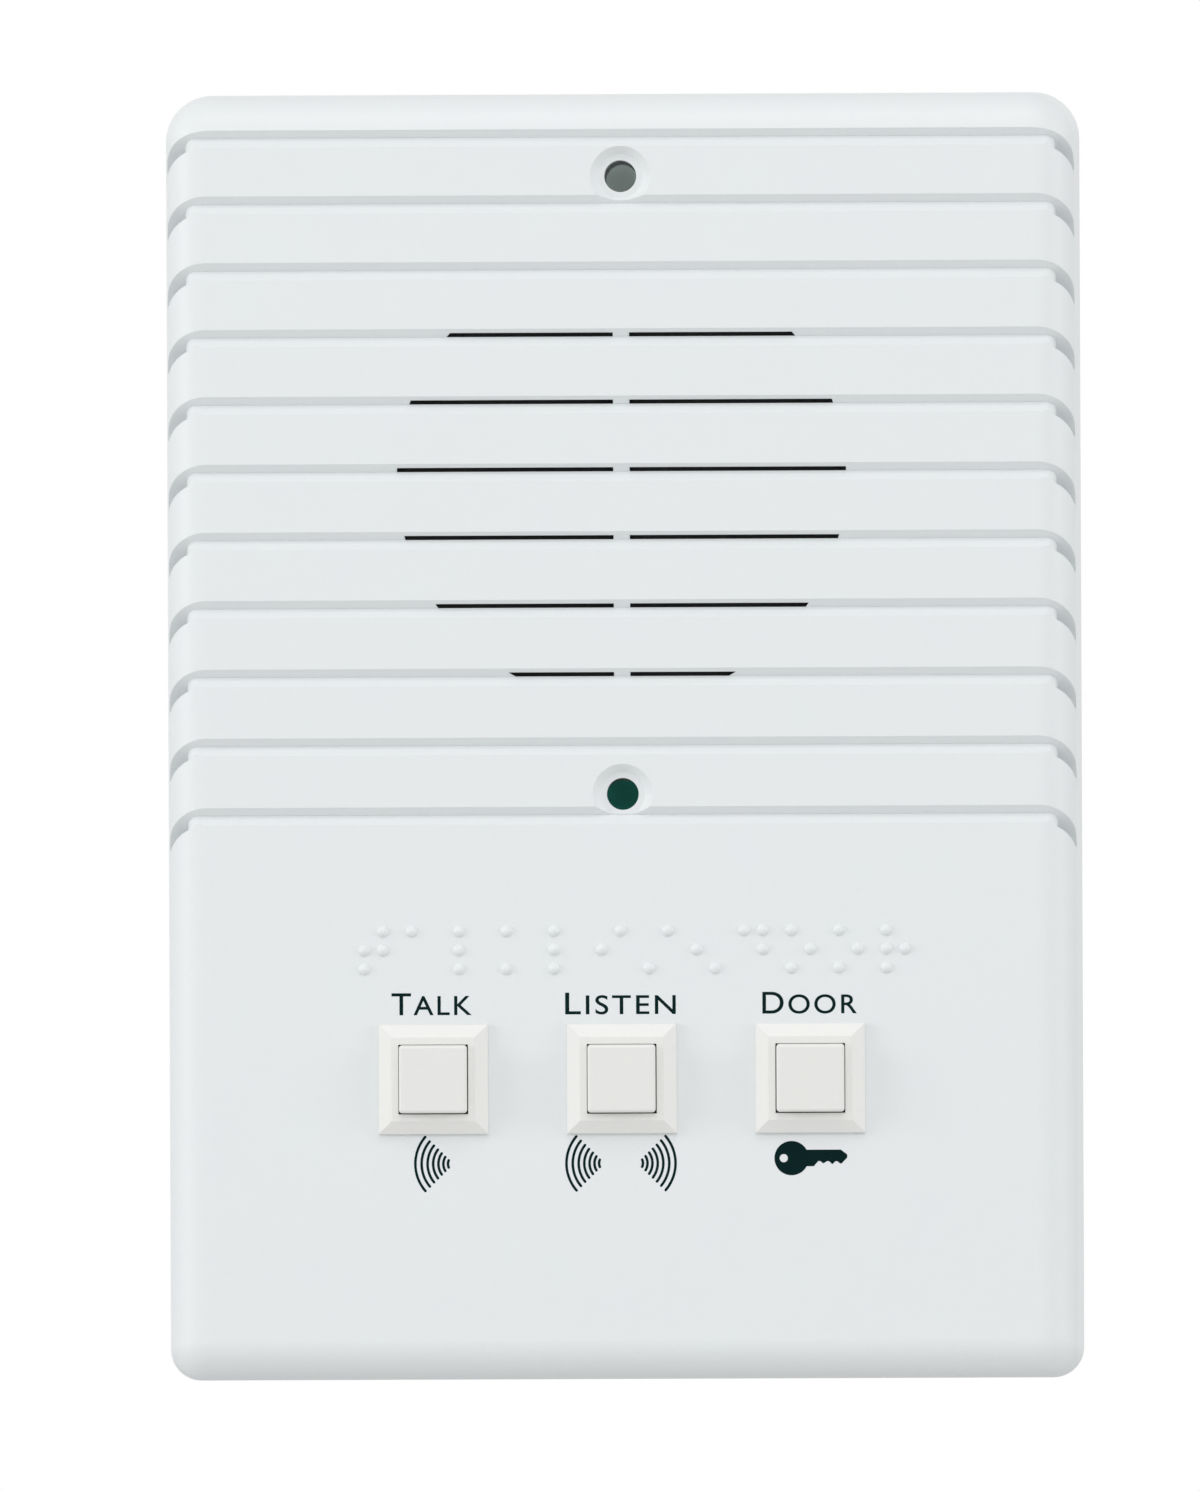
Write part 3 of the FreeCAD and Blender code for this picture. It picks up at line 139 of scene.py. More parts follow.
class Graph:
    # nodes of a material or of the world
    def __init__(self, tree):
        self.tree = tree

    def node(self, kind, settings=None, sockets=None, output=0):
        made = self.tree.nodes.new(kind)
        for key, value in (settings or {}).items():
            setattr(made, key, value)
        for key, value in (sockets or {}).items():
            self.feed(made.inputs[key], value)
        return Wire(self, made.outputs[output] if len(made.outputs) else None)

    def feed(self, socket, value):
        # colours are given without their alpha, which is always 1
        if isinstance(value, Wire):
            self.tree.links.new(value.socket, socket)
        else:
            socket.default_value = (*value, 1) if socket.type == "RGBA" else value

    def blend(self, factor, first, second, mode="MIX"):
        mixed = {"factor": factor, "first": first, "second": second}
        return self.node(
            "ShaderNodeMix",
            {"data_type": "RGBA", "blend_type": mode},
            {mixSockets[key]: value for key, value in mixed.items()},
            mixSockets["result"],
        )


class Finish(Graph):
    # one material: a Principled shader whose patterns read Object coordinates
    def __init__(self, name, **constants):
        self.material = bpy.data.materials.new(name)
        self.material.use_nodes = True
        super().__init__(self.material.node_tree)
        self.shader = self.tree.nodes["Principled BSDF"]
        self.place = self.node("ShaderNodeTexCoord", output="Object")
        self.set(**constants)

    def set(self, **inputs):
        # Base_Color stands for the shader's input Base Color, and so on
        for key, value in inputs.items():
            self.feed(self.shader.inputs[key.replace("_", " ")], value)
        return self.material

    def axis(self, letter):
        return self.node("ShaderNodeSeparateXYZ", None, {0: self.place}, letter)

    def stretched(self, scale):
        return self.node("ShaderNodeMapping", None, {"Vector": self.place, "Scale": scale})

    def noise(self, size, detail=3.0, roughness=0.5, place=None):
        # size is the width of one patch in metres
        values = {"Scale": 1 / size, "Detail": detail, "Roughness": roughness}
        return self.node("ShaderNodeTexNoise", None, {"Vector": place or self.place, **values})

    def crystals(self, size):
        # cells with a random tone each
        values = {"Vector": self.place, "Scale": 1 / size}
        return self.node("ShaderNodeTexVoronoi", None, values, "Color")

    def weave(self, pitch):
        # crests where the threads of a square weave cross, from 0 to 1
        return (self.axis("X").wave(pitch) * self.axis("Z").wave(pitch)).raised()

    def ramp(self, factor, stops):
        # a grey that goes between two stops, each a position and a level
        made = self.node("ShaderNodeValToRGB", None, {0: factor})
        for element, (position, level) in zip(made.socket.node.color_ramp.elements, stops):
            element.position = position
            element.color = (level, level, level, 1)
        return made

    def roundedEdges(self, radius):
        return self.node("ShaderNodeBevel", {"samples": bevelSamples}, {"Radius": radius})

    def bump(self, height, depth, strength=1.0, normal=None):
        values = {"Height": height, "Distance": depth, "Strength": strength}
        if normal:
            values["Normal"] = normal
        return self.node("ShaderNodeBump", None, values)


# Which finish each CAD node wears

wornBy = {
    "coverPlastic": ["front_cover"],
    "bezelPlastic": eachButton("bezel"),
    "capPlastic": eachButton("button"),
    "switchPlastic": eachButton("switch"),
    "plungerPlastic": eachButton("plunger"),
    "terminalPlastic": ["terminal_block"],
    "plateZinc": ["back_plate"],
    "screwZinc": ["back_plate_screws", "board_screws", "terminal_screws"],
    "basketZinc": ["speaker_basket"],
    "yokeZinc": ["speaker_top_plate", "speaker_yoke"],
    "springSteel": ["speaker_push_nuts", *eachButton("return_spring")],
    "tinnedBrass": ["switch_pins", "speaker_solder_tags"],
    "dustCloth": ["dust_cloth"],
    "surroundCloth": ["cone_surround"],
    "spiderCloth": ["speaker_spider"],
    "gasketCard": ["speaker_gasket"],
    "conePaper": ["speaker_cone"],
    "dustCapPaper": ["dust_cap"],
    "tagBoard": ["speaker_tag_strip"],
    "ferrite": ["speaker_magnet"],
    "voiceCoil": ["voice_coil"],
    "boardLaminate": ["circuit_board"],
    "resistorLacquer": ["board_resistors"],
    "capacitorSleeve": ["board_capacitor"],
    "redInsulation": ["red_speaker_lead"],
    "blackInsulation": ["black_speaker_lead"],
}
finishes = {}


def addFinish(name, make, **values):
    # kept for the scene's own pieces, and put on the nodes that wear it
    finishes[name] = make(name, **values)
    for node in wornBy.get(name, ()):
        nodes[node].data.materials.clear()
        nodes[node].data.materials.append(finishes[name])


def addFinishes(make, table):
    for name, values in table.items():
        addFinish(name, make, **values)


# Moulded plastics

plastics = {
    # drift is the tone that patches lean to, grain and depth are the size and height of the fine
    # texture, edge is the radius that sharp edges are shaded with
    "coverPlastic": dict(
        colour=(0.785, 0.825, 0.825), drift=(0.80, 0.815, 0.83), roughness=0.46,
        grain=0.30 * mm, depth=0.006 * mm, edge=0.16 * mm,
    ),
    "bezelPlastic": dict(
        colour=(0.815, 0.82, 0.79), drift=(0.825, 0.82, 0.80), roughness=0.36,
        grain=0.50 * mm, depth=0.003 * mm, edge=0.16 * mm,
    ),
    "capPlastic": dict(
        colour=(0.795, 0.795, 0.77), drift=(0.805, 0.805, 0.785), roughness=0.38,
        grain=0.35 * mm, depth=0.004 * mm, edge=0.08 * mm,
    ),
    "switchPlastic": dict(
        colour=(0.022, 0.023, 0.025), drift=(0.03, 0.031, 0.033), roughness=0.42,
        grain=0.25 * mm, depth=0.006 * mm, edge=0.1 * mm,
    ),
    "plungerPlastic": dict(
        colour=(0.70, 0.69, 0.64), drift=(0.74, 0.73, 0.68), roughness=0.35,
        grain=0.3 * mm, depth=0.004 * mm, edge=0.08 * mm,
    ),
    "terminalPlastic": dict(
        colour=(0.03, 0.16, 0.32), drift=(0.04, 0.19, 0.36), roughness=0.38,
        grain=0.3 * mm, depth=0.006 * mm, edge=0.1 * mm,
    ),
}
moulding = {
    "mottle": dict(size=9 * mm, detail=4, roughness=0.6),
    "grain": dict(detail=2, roughness=0.6),
    "speckStops": ((0.3, 0.985), (0.7, 1.0)),
    "grainStrength": 0.6,
    "roughnessDrift": 0.08,
}


def drifting(middle, drift, pattern):
    # a value that a pattern takes half the drift to either side of its middle
    return middle - drift / 2 + drift * pattern


def mouldedPlastic(name, colour, drift, roughness, grain, depth, edge):
    finish = Finish(name)
    mottle = finish.noise(**moulding["mottle"])
    fine = finish.noise(grain, **moulding["grain"])
    speck = finish.ramp(fine, moulding["speckStops"])
    toned = finish.blend(1.0, finish.blend(mottle, colour, drift), speck, "MULTIPLY")
    return finish.set(
        Base_Color=toned,
        Roughness=drifting(roughness, moulding["roughnessDrift"], mottle),
        Normal=finish.bump(fine, depth, moulding["grainStrength"], finish.roundedEdges(edge)),
    )


addFinishes(mouldedPlastic, plastics)
print("plastics done")


# Metals

metals = {
    # crystal is the size of a zinc or tin crystal, stretch the scale of the scratches along x, y, z
    "plateZinc": dict(
        light=(0.62, 0.64, 0.65), dark=(0.50, 0.52, 0.545), roughness=0.36,
        crystal=3.5 * mm, stretch=(1, 1, 0.03), depth=0.004 * mm, edge=0.15 * mm,
    ),
    "screwZinc": dict(
        light=(0.60, 0.61, 0.61), dark=(0.46, 0.47, 0.48), roughness=0.28,
        crystal=0.6 * mm, stretch=(0.1, 1, 1), depth=0.004 * mm, edge=0.12 * mm,
    ),
    "basketZinc": dict(
        light=(0.58, 0.59, 0.585), dark=(0.47, 0.48, 0.48), roughness=0.38,
        crystal=1.6 * mm, stretch=(1, 0.1, 1), depth=0.004 * mm, edge=0.12 * mm,
    ),
    "yokeZinc": dict(
        light=(0.63, 0.61, 0.52), dark=(0.50, 0.49, 0.43), roughness=0.30,
        crystal=1.2 * mm, stretch=(1, 1, 0.2), depth=0.003 * mm, edge=0.2 * mm,
    ),
    "springSteel": dict(
        light=(0.40, 0.40, 0.41), dark=(0.27, 0.27, 0.28), roughness=0.30,
        crystal=0.5 * mm, stretch=(0.2, 1, 0.2), depth=0.002 * mm, edge=0.05 * mm,
    ),
    "tinnedBrass": dict(
        light=(0.66, 0.64, 0.58), dark=(0.55, 0.53, 0.47), roughness=0.32,
        crystal=0.5 * mm, stretch=(1, 0.2, 1), depth=0.003 * mm, edge=0.05 * mm,
    ),
    "solder": dict(
        light=(0.62, 0.62, 0.61), dark=(0.50, 0.50, 0.50), roughness=0.26,
        crystal=0.45 * mm, stretch=(1, 0.6, 1), depth=0.006 * mm, edge=0.05 * mm,
    ),
}
metalwork = {
    "scratches": dict(size=0.4 * mm, detail=3, roughness=0.7),
    "dulling": dict(size=14 * mm, detail=4, roughness=0.65),
    "crystalStops": ((0.25, 0.0), (0.8, 1.0)),
    "dullStops": ((0.45, 0.0), (0.75, 0.6)),
    "polish": 0.05,
    "dullRoughness": 0.12,
    "scratchRoughness": 0.06,
    "scratchStrength": 0.5,
}


def plainMetal(name, light, dark, roughness, crystal, stretch, depth, edge):
    finish = Finish(name, Metallic=1.0)
    crystals = finish.ramp(finish.crystals(crystal), metalwork["crystalStops"])
    scratches = finish.noise(**metalwork["scratches"], place=finish.stretched(stretch))
    dulled = finish.noise(**metalwork["dulling"])
    tone = finish.blend(crystals, dark, light)
    rubbed = roughness - metalwork["polish"] + metalwork["dullRoughness"] * dulled
    strength = metalwork["scratchStrength"]
    return finish.set(
        Base_Color=finish.blend(finish.ramp(dulled, metalwork["dullStops"]), tone, dark),
        Roughness=rubbed + metalwork["scratchRoughness"] * scratches,
        Normal=finish.bump(scratches, depth, strength, finish.roundedEdges(edge)),
    )


addFinishes(plainMetal, metals)
print("metals done")


# Cloth and paper of the loudspeaker

cloths = {
    "dustCloth": dict(
        thread=(0.022, 0.023, 0.023), gap=(0.004, 0.004, 0.004),
        pitch=0.32 * mm, height=0.05 * mm, roughness=0.85,
    ),
    "surroundCloth": dict(
        thread=(0.045, 0.044, 0.042), gap=(0.016, 0.016, 0.016),
        pitch=0.40 * mm, height=0.03 * mm, roughness=0.62,
    ),
    "spiderCloth": dict(
        thread=(0.50, 0.33, 0.13), gap=(0.30, 0.18, 0.06),
        pitch=0.45 * mm, height=0.05 * mm, roughness=0.55,
    ),
}
weaving = {
    "fuzz": dict(detail=3, roughness=0.7),
    "weaveShare": 0.8,
    "fuzzShare": 0.2,
    "fuzzHeight": 0.4,
    "roughnessDrift": 0.2,
}
papers = {
    "gasketCard": dict(
        light=(0.10, 0.09, 0.075), dark=(0.065, 0.058, 0.05),
        length=1.2 * mm, depth=0.02 * mm, roughness=0.9,
    ),
    "conePaper": dict(
        light=(0.05, 0.05, 0.052), dark=(0.02, 0.02, 0.021),
        length=1.6 * mm, depth=0.04 * mm, roughness=0.8,
    ),
    "dustCapPaper": dict(
        light=(0.07, 0.07, 0.07), dark=(0.03, 0.03, 0.03),
        length=0.9 * mm, depth=0.05 * mm, roughness=0.9,
    ),
    "tagBoard": dict(
        light=(0.24, 0.13, 0.055), dark=(0.15, 0.075, 0.03),
        length=1.4 * mm, depth=0.01 * mm, roughness=0.5,
    ),
    "ferrite": dict(
        light=(0.050, 0.051, 0.055), dark=(0.028, 0.028, 0.031),
        length=0.5 * mm, depth=0.012 * mm, roughness=0.62,
    ),
}
pressing = {
    "fibres": dict(detail=5, roughness=0.75),
    "fibreStretch": (1, 0.4, 0.25),
    # widths of one patch, in fibre lengths
    "fibreWidth": 0.25,
    "cloudWidth": 5,
    "fibreShare": 0.6,
    "cloudShare": 0.4,
    "fibreStrength": 0.7,
    "roughnessDrift": 0.16,
}
winding = {
    # length of the winding before and behind the pole plate
    "overhang": 0.6 * mm,
    "turn": 0.16 * mm,
    "turnHeight": 0.04 * mm,
    "patch": 1.5 * mm,
    # copper of the winding: the first, darker tone is painted shade between the turns, the second
    # is the copper on their crests
    "copper": ((0.20, 0.06, 0.02), (0.62, 0.26, 0.10)),
    "paper": ((0.34, 0.20, 0.09), (0.42, 0.26, 0.12)),
    "metallic": 0.8,
    "roughness": 0.6,
    "gloss": 0.3,
    "roughnessRise": 0.1,
}


def wovenCloth(name, thread, gap, pitch, height, roughness):
    finish = Finish(name)
    weave = finish.weave(pitch)
    fuzz = finish.noise(pitch, **weaving["fuzz"])
    threads = weaving["weaveShare"] * weave + weaving["fuzzShare"] * fuzz
    return finish.set(
        Base_Color=finish.blend(threads, gap, thread),
        Roughness=drifting(roughness, weaving["roughnessDrift"], fuzz),
        Normal=finish.bump(weave + weaving["fuzzHeight"] * fuzz, height),
    )


def pressedFibre(name, light, dark, length, depth, roughness):
    finish = Finish(name)
    laid = finish.stretched(pressing["fibreStretch"])
    fibres = finish.noise(length * pressing["fibreWidth"], **pressing["fibres"], place=laid)
    clouds = finish.noise(length * pressing["cloudWidth"])
    mixed = pressing["fibreShare"] * fibres + pressing["cloudShare"] * clouds
    return finish.set(
        Base_Color=finish.blend(mixed, dark, light),
        Roughness=drifting(roughness, pressing["roughnessDrift"], fibres),
        Normal=finish.bump(fibres, depth, pressing["fibreStrength"]),
    )


def voiceCoil(name):
    # enamelled wire where the winding is, darkened between its turns with painted shade, brown
    # paper before and behind it
    low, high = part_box("speaker_top_plate")
    middle = (low[1] + high[1]) / 2
    reach = (high[1] - low[1]) / 2 + winding["overhang"]
    finish = Finish(name)
    along = finish.axis("Y")
    wound = abs(along - middle) < reach
    turns = along.wave(winding["turn"]).raised()
    patches = finish.noise(winding["patch"])
    # painted shade: the copper darkens in the grooves between the turns
    copper = finish.blend(turns, *winding["copper"])
    paper = finish.blend(patches, *winding["paper"])
    polished = winding["roughness"] - winding["gloss"] * wound
    return finish.set(
        Base_Color=finish.blend(wound, paper, copper),
        Metallic=winding["metallic"] * wound,
        Roughness=polished + winding["roughnessRise"] * patches,
        Normal=finish.bump(turns * wound, winding["turnHeight"]),
    )


addFinishes(wovenCloth, cloths)
addFinishes(pressedFibre, papers)
addFinish("voiceCoil", voiceCoil)
print("loudspeaker done")


# Circuit board and its components

laminate = {
    "greens": ((0.013, 0.125, 0.086), (0.020, 0.165, 0.112)),
    "glass": (0.040, 0.22, 0.14),
    "glassPitch": 0.9 * mm,
    "glassShare": 0.18,
    "glassHeight": 0.01 * mm,
    "glassStrength": 0.4,
    "clouds": 12 * mm,
    "roughness": 0.32,
    "roughnessRise": 0.12,
    "coat": 0.5,
    "coatRoughness": 0.12,
}
resistor = {
    "lacquer": ((0.56, 0.43, 0.25), (0.64, 0.50, 0.31)),
    "wire": (0.62, 0.62, 0.60),
    "bands": {
        # distance from the resistor's middle along x: colour
        -2.1 * mm: (0.25, 0.10, 0.02),
        -1.1 * mm: (0.02, 0.02, 0.02),
        -0.1 * mm: (0.45, 0.05, 0.02),
        1.9 * mm: (0.55, 0.38, 0.08),
    },
    # half of a band's width and of the body's length
    "bandReach": 0.3 * mm,
    "bodyReach": 3.15 * mm,
    "clouds": 0.8 * mm,
    "cloudHeight": 0.02 * mm,
    "cloudStrength": 0.5,
    "roughness": 0.42,
    "wireGloss": 0.1,
    "roughnessRise": 0.1,
}
capacitor = {
    "sleeve": ((0.012, 0.018, 0.05), (0.018, 0.026, 0.07)),
    "stripe": (0.45, 0.47, 0.50),
    "can": (0.60, 0.60, 0.60),
    "stripeWidth": 0.7 * mm,
    "canEnd": 0.2 * mm,
    "canMetallic": 0.9,
    "edge": 0.1 * mm,
    "clouds": 2 * mm,
    "cloudHeight": 0.02 * mm,
    "cloudStrength": 0.3,
    "roughness": 0.3,
    "roughnessRise": 0.1,
}
insulation = dict(
    clouds=dict(size=2.5 * mm, detail=4, roughness=0.6), height=0.02 * mm, strength=0.4,
    roughness=0.35, roughnessRise=0.2, coat=0.3, coatRoughness=0.2,
)
lacquers = {
    "redInsulation": dict(dark=(0.42, 0.02, 0.015), light=(0.52, 0.04, 0.03), **insulation),
    "blackInsulation": dict(dark=(0.012, 0.012, 0.012), light=(0.03, 0.03, 0.03), **insulation),
    # over the copper of a track
    "trackLacquer": dict(
        dark=(0.04, 0.25, 0.14), light=(0.055, 0.31, 0.17),
        clouds=dict(size=2 * mm), height=0.01 * mm, strength=1.0,
        roughness=0.3, roughnessRise=0.1, coat=0.5, coatRoughness=0.15,
    ),
}


def coated(name, values):
    return Finish(name, Coat_Weight=values["coat"], Coat_Roughness=values["coatRoughness"])


def boardLaminate(name):
    finish = coated(name, laminate)
    glass = finish.weave(laminate["glassPitch"])
    clouds = finish.noise(laminate["clouds"])
    green = finish.blend(clouds, *laminate["greens"])
    return finish.set(
        Base_Color=finish.blend(laminate["glassShare"] * glass, green, laminate["glass"]),
        Roughness=laminate["roughness"] + laminate["roughnessRise"] * clouds,
        Normal=finish.bump(glass, laminate["glassHeight"], laminate["glassStrength"]),
    )


def bandedResistor(name):
    middle = middleOf("board_resistors")[0]
    finish = Finish(name)
    along = finish.axis("X")
    clouds = finish.noise(resistor["clouds"])
    colour = finish.blend(clouds, *resistor["lacquer"])
    for distance, tint in resistor["bands"].items():
        painted = abs(along - (middle + distance)) < resistor["bandReach"]
        colour = finish.blend(painted, colour, tint)
    bare = abs(along - middle) > resistor["bodyReach"]
    polished = resistor["roughness"] - resistor["wireGloss"] * bare
    return finish.set(
        Base_Color=finish.blend(bare, colour, resistor["wire"]),
        Metallic=bare,
        Roughness=polished + resistor["roughnessRise"] * clouds,
        Normal=finish.bump(clouds, resistor["cloudHeight"], resistor["cloudStrength"]),
    )


def capacitorSleeve(name):
    # dark blue sleeve with a pale stripe on the left and a bare can end
    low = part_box("board_capacitor")[0]
    finish = Finish(name)
    clouds = finish.noise(capacitor["clouds"])
    stripe = finish.axis("X") < low[0] + capacitor["stripeWidth"]
    can = finish.axis("Y") < low[1] + capacitor["canEnd"]
    striped = finish.blend(stripe, finish.blend(clouds, *capacitor["sleeve"]), capacitor["stripe"])
    edges = finish.roundedEdges(capacitor["edge"])
    height, strength = capacitor["cloudHeight"], capacitor["cloudStrength"]
    return finish.set(
        Base_Color=finish.blend(can, striped, capacitor["can"]),
        Metallic=capacitor["canMetallic"] * can,
        Roughness=capacitor["roughness"] + capacitor["roughnessRise"] * clouds,
        Normal=finish.bump(clouds, height, strength, edges),
    )


def lacquered(name, **lacquer):
    finish = coated(name, lacquer)
    clouds = finish.noise(**lacquer["clouds"])
    return finish.set(
        Base_Color=finish.blend(clouds, lacquer["dark"], lacquer["light"]),
        Roughness=lacquer["roughness"] + lacquer["roughnessRise"] * clouds,
        Normal=finish.bump(clouds, lacquer["height"], lacquer["strength"]),
    )


addFinish("boardLaminate", boardLaminate)
addFinish("resistorLacquer", bandedResistor)
addFinish("capacitorSleeve", capacitorSleeve)
addFinishes(lacquered, lacquers)
print("board done")


# Pieces that only the scene has


def linked(name, mesh):
    made = bpy.data.objects.new(name, mesh)
    bpy.context.scene.collection.objects.link(made)
    return made


def meshed(curve):
    holder = linked("holder", curve)
    seen = holder.evaluated_get(bpy.context.evaluated_depsgraph_get())
    mesh = bpy.data.meshes.new_from_object(seen)
    bpy.data.objects.remove(holder)
    return mesh


def worked(name, work):
    mesh = bpy.data.meshes.new(name)
    work.to_mesh(mesh)
    work.free()
    return mesh


def stationPiece(name, mesh, finish):
    mesh.name = name
    mesh.materials.clear()
    mesh.materials.append(finishes[finish])
    piece = linked(name, mesh)
    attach(piece, "station")
    return piece


def flatPiece(name, curve, depth, finish):
    # turned from the ground to a plane in front of the wall; depth is the y of its middle
    mesh = meshed(curve)
    mesh.transform(Matrix.Translation((0, depth, 0)) @ Matrix.Rotation(math.pi / 2, 4, "X"))
    return stationPiece(name, mesh, finish)


def outlined(name, loops, thickness):
    # a flat curve, filled between closed outlines of (x, z) in millimetres
    flat = bpy.data.curves.new(name, "CURVE")
    flat.dimensions = "2D"
    flat.fill_mode = "BOTH"
    flat.extrude = thickness / 2
    for loop in loops:
        spline = flat.splines.new("POLY")
        spline.points.add(len(loop) - 1)
        for point, (x, z) in zip(spline.points, loop):
            point.co = (x * mm, z * mm, 0, 1)
        spline.use_cyclic_u = True
    return flat


def polar(centre, radius, angle):
    return centre[0] + radius * math.cos(angle), centre[1] + radius * math.sin(angle)


def arc(centre, radius, start, end, steps=24):
    angles = [start + (end - start) * k / steps for k in range(steps + 1)]
    return [polar(centre, radius, angle) for angle in angles]


def circle(centre, radius, steps=40):
    return arc(centre, radius, 0, math.tau, steps)[:-1]


# Return springs for the buttons

coil = {
    # radius of the wire
    "wire": 0.2 * mm,
    "turns": 5,
    "steps": 36,
    "bevel": 3,
    # length at full travel, as a share of the length at rest
    "pressed": 0.59,
}


def returnSpring(name):
    # wound like the node that it stands for, from the switch's floor to the plunger
    low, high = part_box(f"{name}_return_spring")
    x, z = middleOf(f"{name}_return_spring")
    radius = (high[0] - low[0]) / 2 - coil["wire"]
    seat, front = high[1] - coil["wire"], low[1] + coil["wire"]
    path = bpy.data.curves.new(f"{name}_coil", "CURVE")
    path.dimensions = "3D"
    path.bevel_depth = coil["wire"]
    path.bevel_resolution = coil["bevel"]
    path.use_fill_caps = True
    spline = path.splines.new("POLY")
    count = coil["turns"] * coil["steps"]
    spline.points.add(count)
    for k, point in enumerate(spline.points):
        across, upright = polar((x, z), radius, math.tau * k / coil["steps"])
        point.co = (across, seat + (front - seat) * k / count, upright, 1)
    spring = stationPiece(f"{name}_coil_spring", meshed(path), "springSteel")
    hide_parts(f"{name}_return_spring")
    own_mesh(spring)


for name in buttonNames:
    returnSpring(name)
print("springs done")


# Printed legends and pictograms on the cover's face

printed = {
    "thickness": 0.02 * mm,
    # between the dust cloth and the cover's face
    "coverWall": 2.4 * mm,
    "fontSize": 4 * mm,
    "letterHeight": 2.96 * mm,
    "smallCaps": 0.865,
    "weight": 0.02 * mm,
    "tracking": 1.14,
    # heights above the middle of the buttons, the second in millimetres
    "baseline": 8.65 * mm,
    "row": -11.41,
}
legends = {
    # shift is from the middle of the button to the middle of the word
    "talk": dict(words="Talk", shift=-0.21 * mm, width=10.79 * mm),
    "listen": dict(words="Listen", shift=-0.15 * mm, width=14.90 * mm),
    "door": dict(words="Door", shift=-0.06 * mm, width=12.72 * mm),
}
waves = {
    # lengths in millimetres
    "count": 7,
    "firstRadius": 1.20,
    "firstGap": 0.62,
    "gapGrowth": 0.045,
    # from the centre of the arcs to the point where the lines that cut them off meet
    "apex": 0.61,
    "stroke": 0.35,
    "tipSteps": 8,
    "talkCentre": 3.11,
    "listenCentres": (-1.92, 1.59),
}
doorKey = {
    # lengths in millimetres
    "centre": -2.57,
    "row": 0.60,
    "bow": 2.31,
    "bowSteps": 60,
    "hole": 0.555,
    "holeShift": -1.06,
    "shoulder": 1.125,
    "foot": -1.10,
    # the blade from the shoulder to the tip and back along its cuts, from the bow's centre
    "blade": (
        (6.64, 1.125), (7.50, 0.46), (7.50, 0.05), (6.72, -0.75), (6.54, -0.75), (6.17, -0.44),
        (5.90, -0.44), (5.48, -0.85), (5.04, -0.42), (4.76, -0.42), (4.38, -0.685), (4.19, -0.685),
        (3.86, -0.41), (3.60, -0.41), (2.99, -1.10),
    ),
}
ink = {
    "tones": ((0.0012, 0.012, 0.0125), (0.002, 0.018, 0.0185)),
    "thin": (0.012, 0.05, 0.05),
    "thinStops": ((0.62, 0.0), (0.8, 0.5)),
    "screen": dict(size=0.25 * mm, detail=2, roughness=0.6),
    "screenHeight": 0.004 * mm,
    "clouds": 3 * mm,
    "roughness": 0.45,
    "roughnessRise": 0.1,
    "specular": 0.04,
}
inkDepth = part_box("dust_cloth")[0][1] - printed["coverWall"] - printed["thickness"] / 2


def legendInk(name):
    finish = Finish(name, Specular_IOR_Level=ink["specular"])
    screen = finish.noise(**ink["screen"])
    clouds = finish.noise(ink["clouds"])
    tone = finish.blend(clouds, *ink["tones"])
    return finish.set(
        Base_Color=finish.blend(finish.ramp(screen, ink["thinStops"]), tone, ink["thin"]),
        Roughness=ink["roughness"] + ink["roughnessRise"] * clouds,
        Normal=finish.bump(screen, ink["screenHeight"]),
    )


def printCurve(name, curve):
    return flatPiece(name, curve, inkDepth, "legendInk")


def printLegend(name, words, shift, width):
    x, z = middleOf(f"{name}_bezel")
    letters = bpy.data.curves.new(f"{name}_letters", "FONT")
    letters.body = words
    for letter in letters.body_format:
        letter.use_small_caps = True
    letters.small_caps_scale = printed["smallCaps"]
    letters.size = printed["fontSize"]
    letters.offset = printed["weight"]
    letters.space_character = printed["tracking"]
    letters.extrude = printed["thickness"] / 2
    piece = printCurve(f"{name}_legend", letters)
    corners = [vertex.co for vertex in piece.data.vertices]
    low = Vector([min(corner[k] for corner in corners) for k in range(3)])
    high = Vector([max(corner[k] for corner in corners) for k in range(3)])
    wider, taller = width / (high.x - low.x), printed["letterHeight"] / (high.z - low.z)
    grow = Matrix.Diagonal((wider, 1, taller, 1))
    goal = Matrix.Translation((x + shift - width / 2, 0, z + printed["baseline"]))
    piece.data.transform(goal @ grow @ Matrix.Translation((-low.x, 0, -low.z)))


def roundTip(centre, radius, start):
    # half a circle without its ends
    return arc(centre, radius, start, start + math.pi, waves["tipSteps"])[1:-1]


def soundWaves(centre, side):
    # arcs that bulge to the left (-1) or right (1), cut off by two lines at 45 degrees
    loops = []
    reach = waves["stroke"] / 2
    facing = 0 if side > 0 else math.pi
    for k in range(waves["count"]):
        radius = waves["firstRadius"] + k * waves["firstGap"] + waves["gapGrowth"] * k * (k - 1) / 2
        rise = (math.sqrt(2 * radius**2 - waves["apex"] ** 2) - waves["apex"]) / 2
        spread = math.atan2(rise, waves["apex"] + rise)
        start, end = facing - spread, facing + spread
        loops.append(
            arc(centre, radius + reach, start, end)
            + roundTip(polar(centre, radius, end), reach, end)
            + arc(centre, radius - reach, end, start)
            + roundTip(polar(centre, radius, start), reach, start + math.pi)
        )
    return loops


def printWaves(name, centres):
    x, z = middleOf(f"{name}_bezel")
    row = z / mm + printed["row"]
    loops = [loop for shift, side in centres for loop in soundWaves((x / mm + shift, row), side)]
    printCurve(f"{name}_waves", outlined(f"{name}_waves", loops, printed["thickness"]))


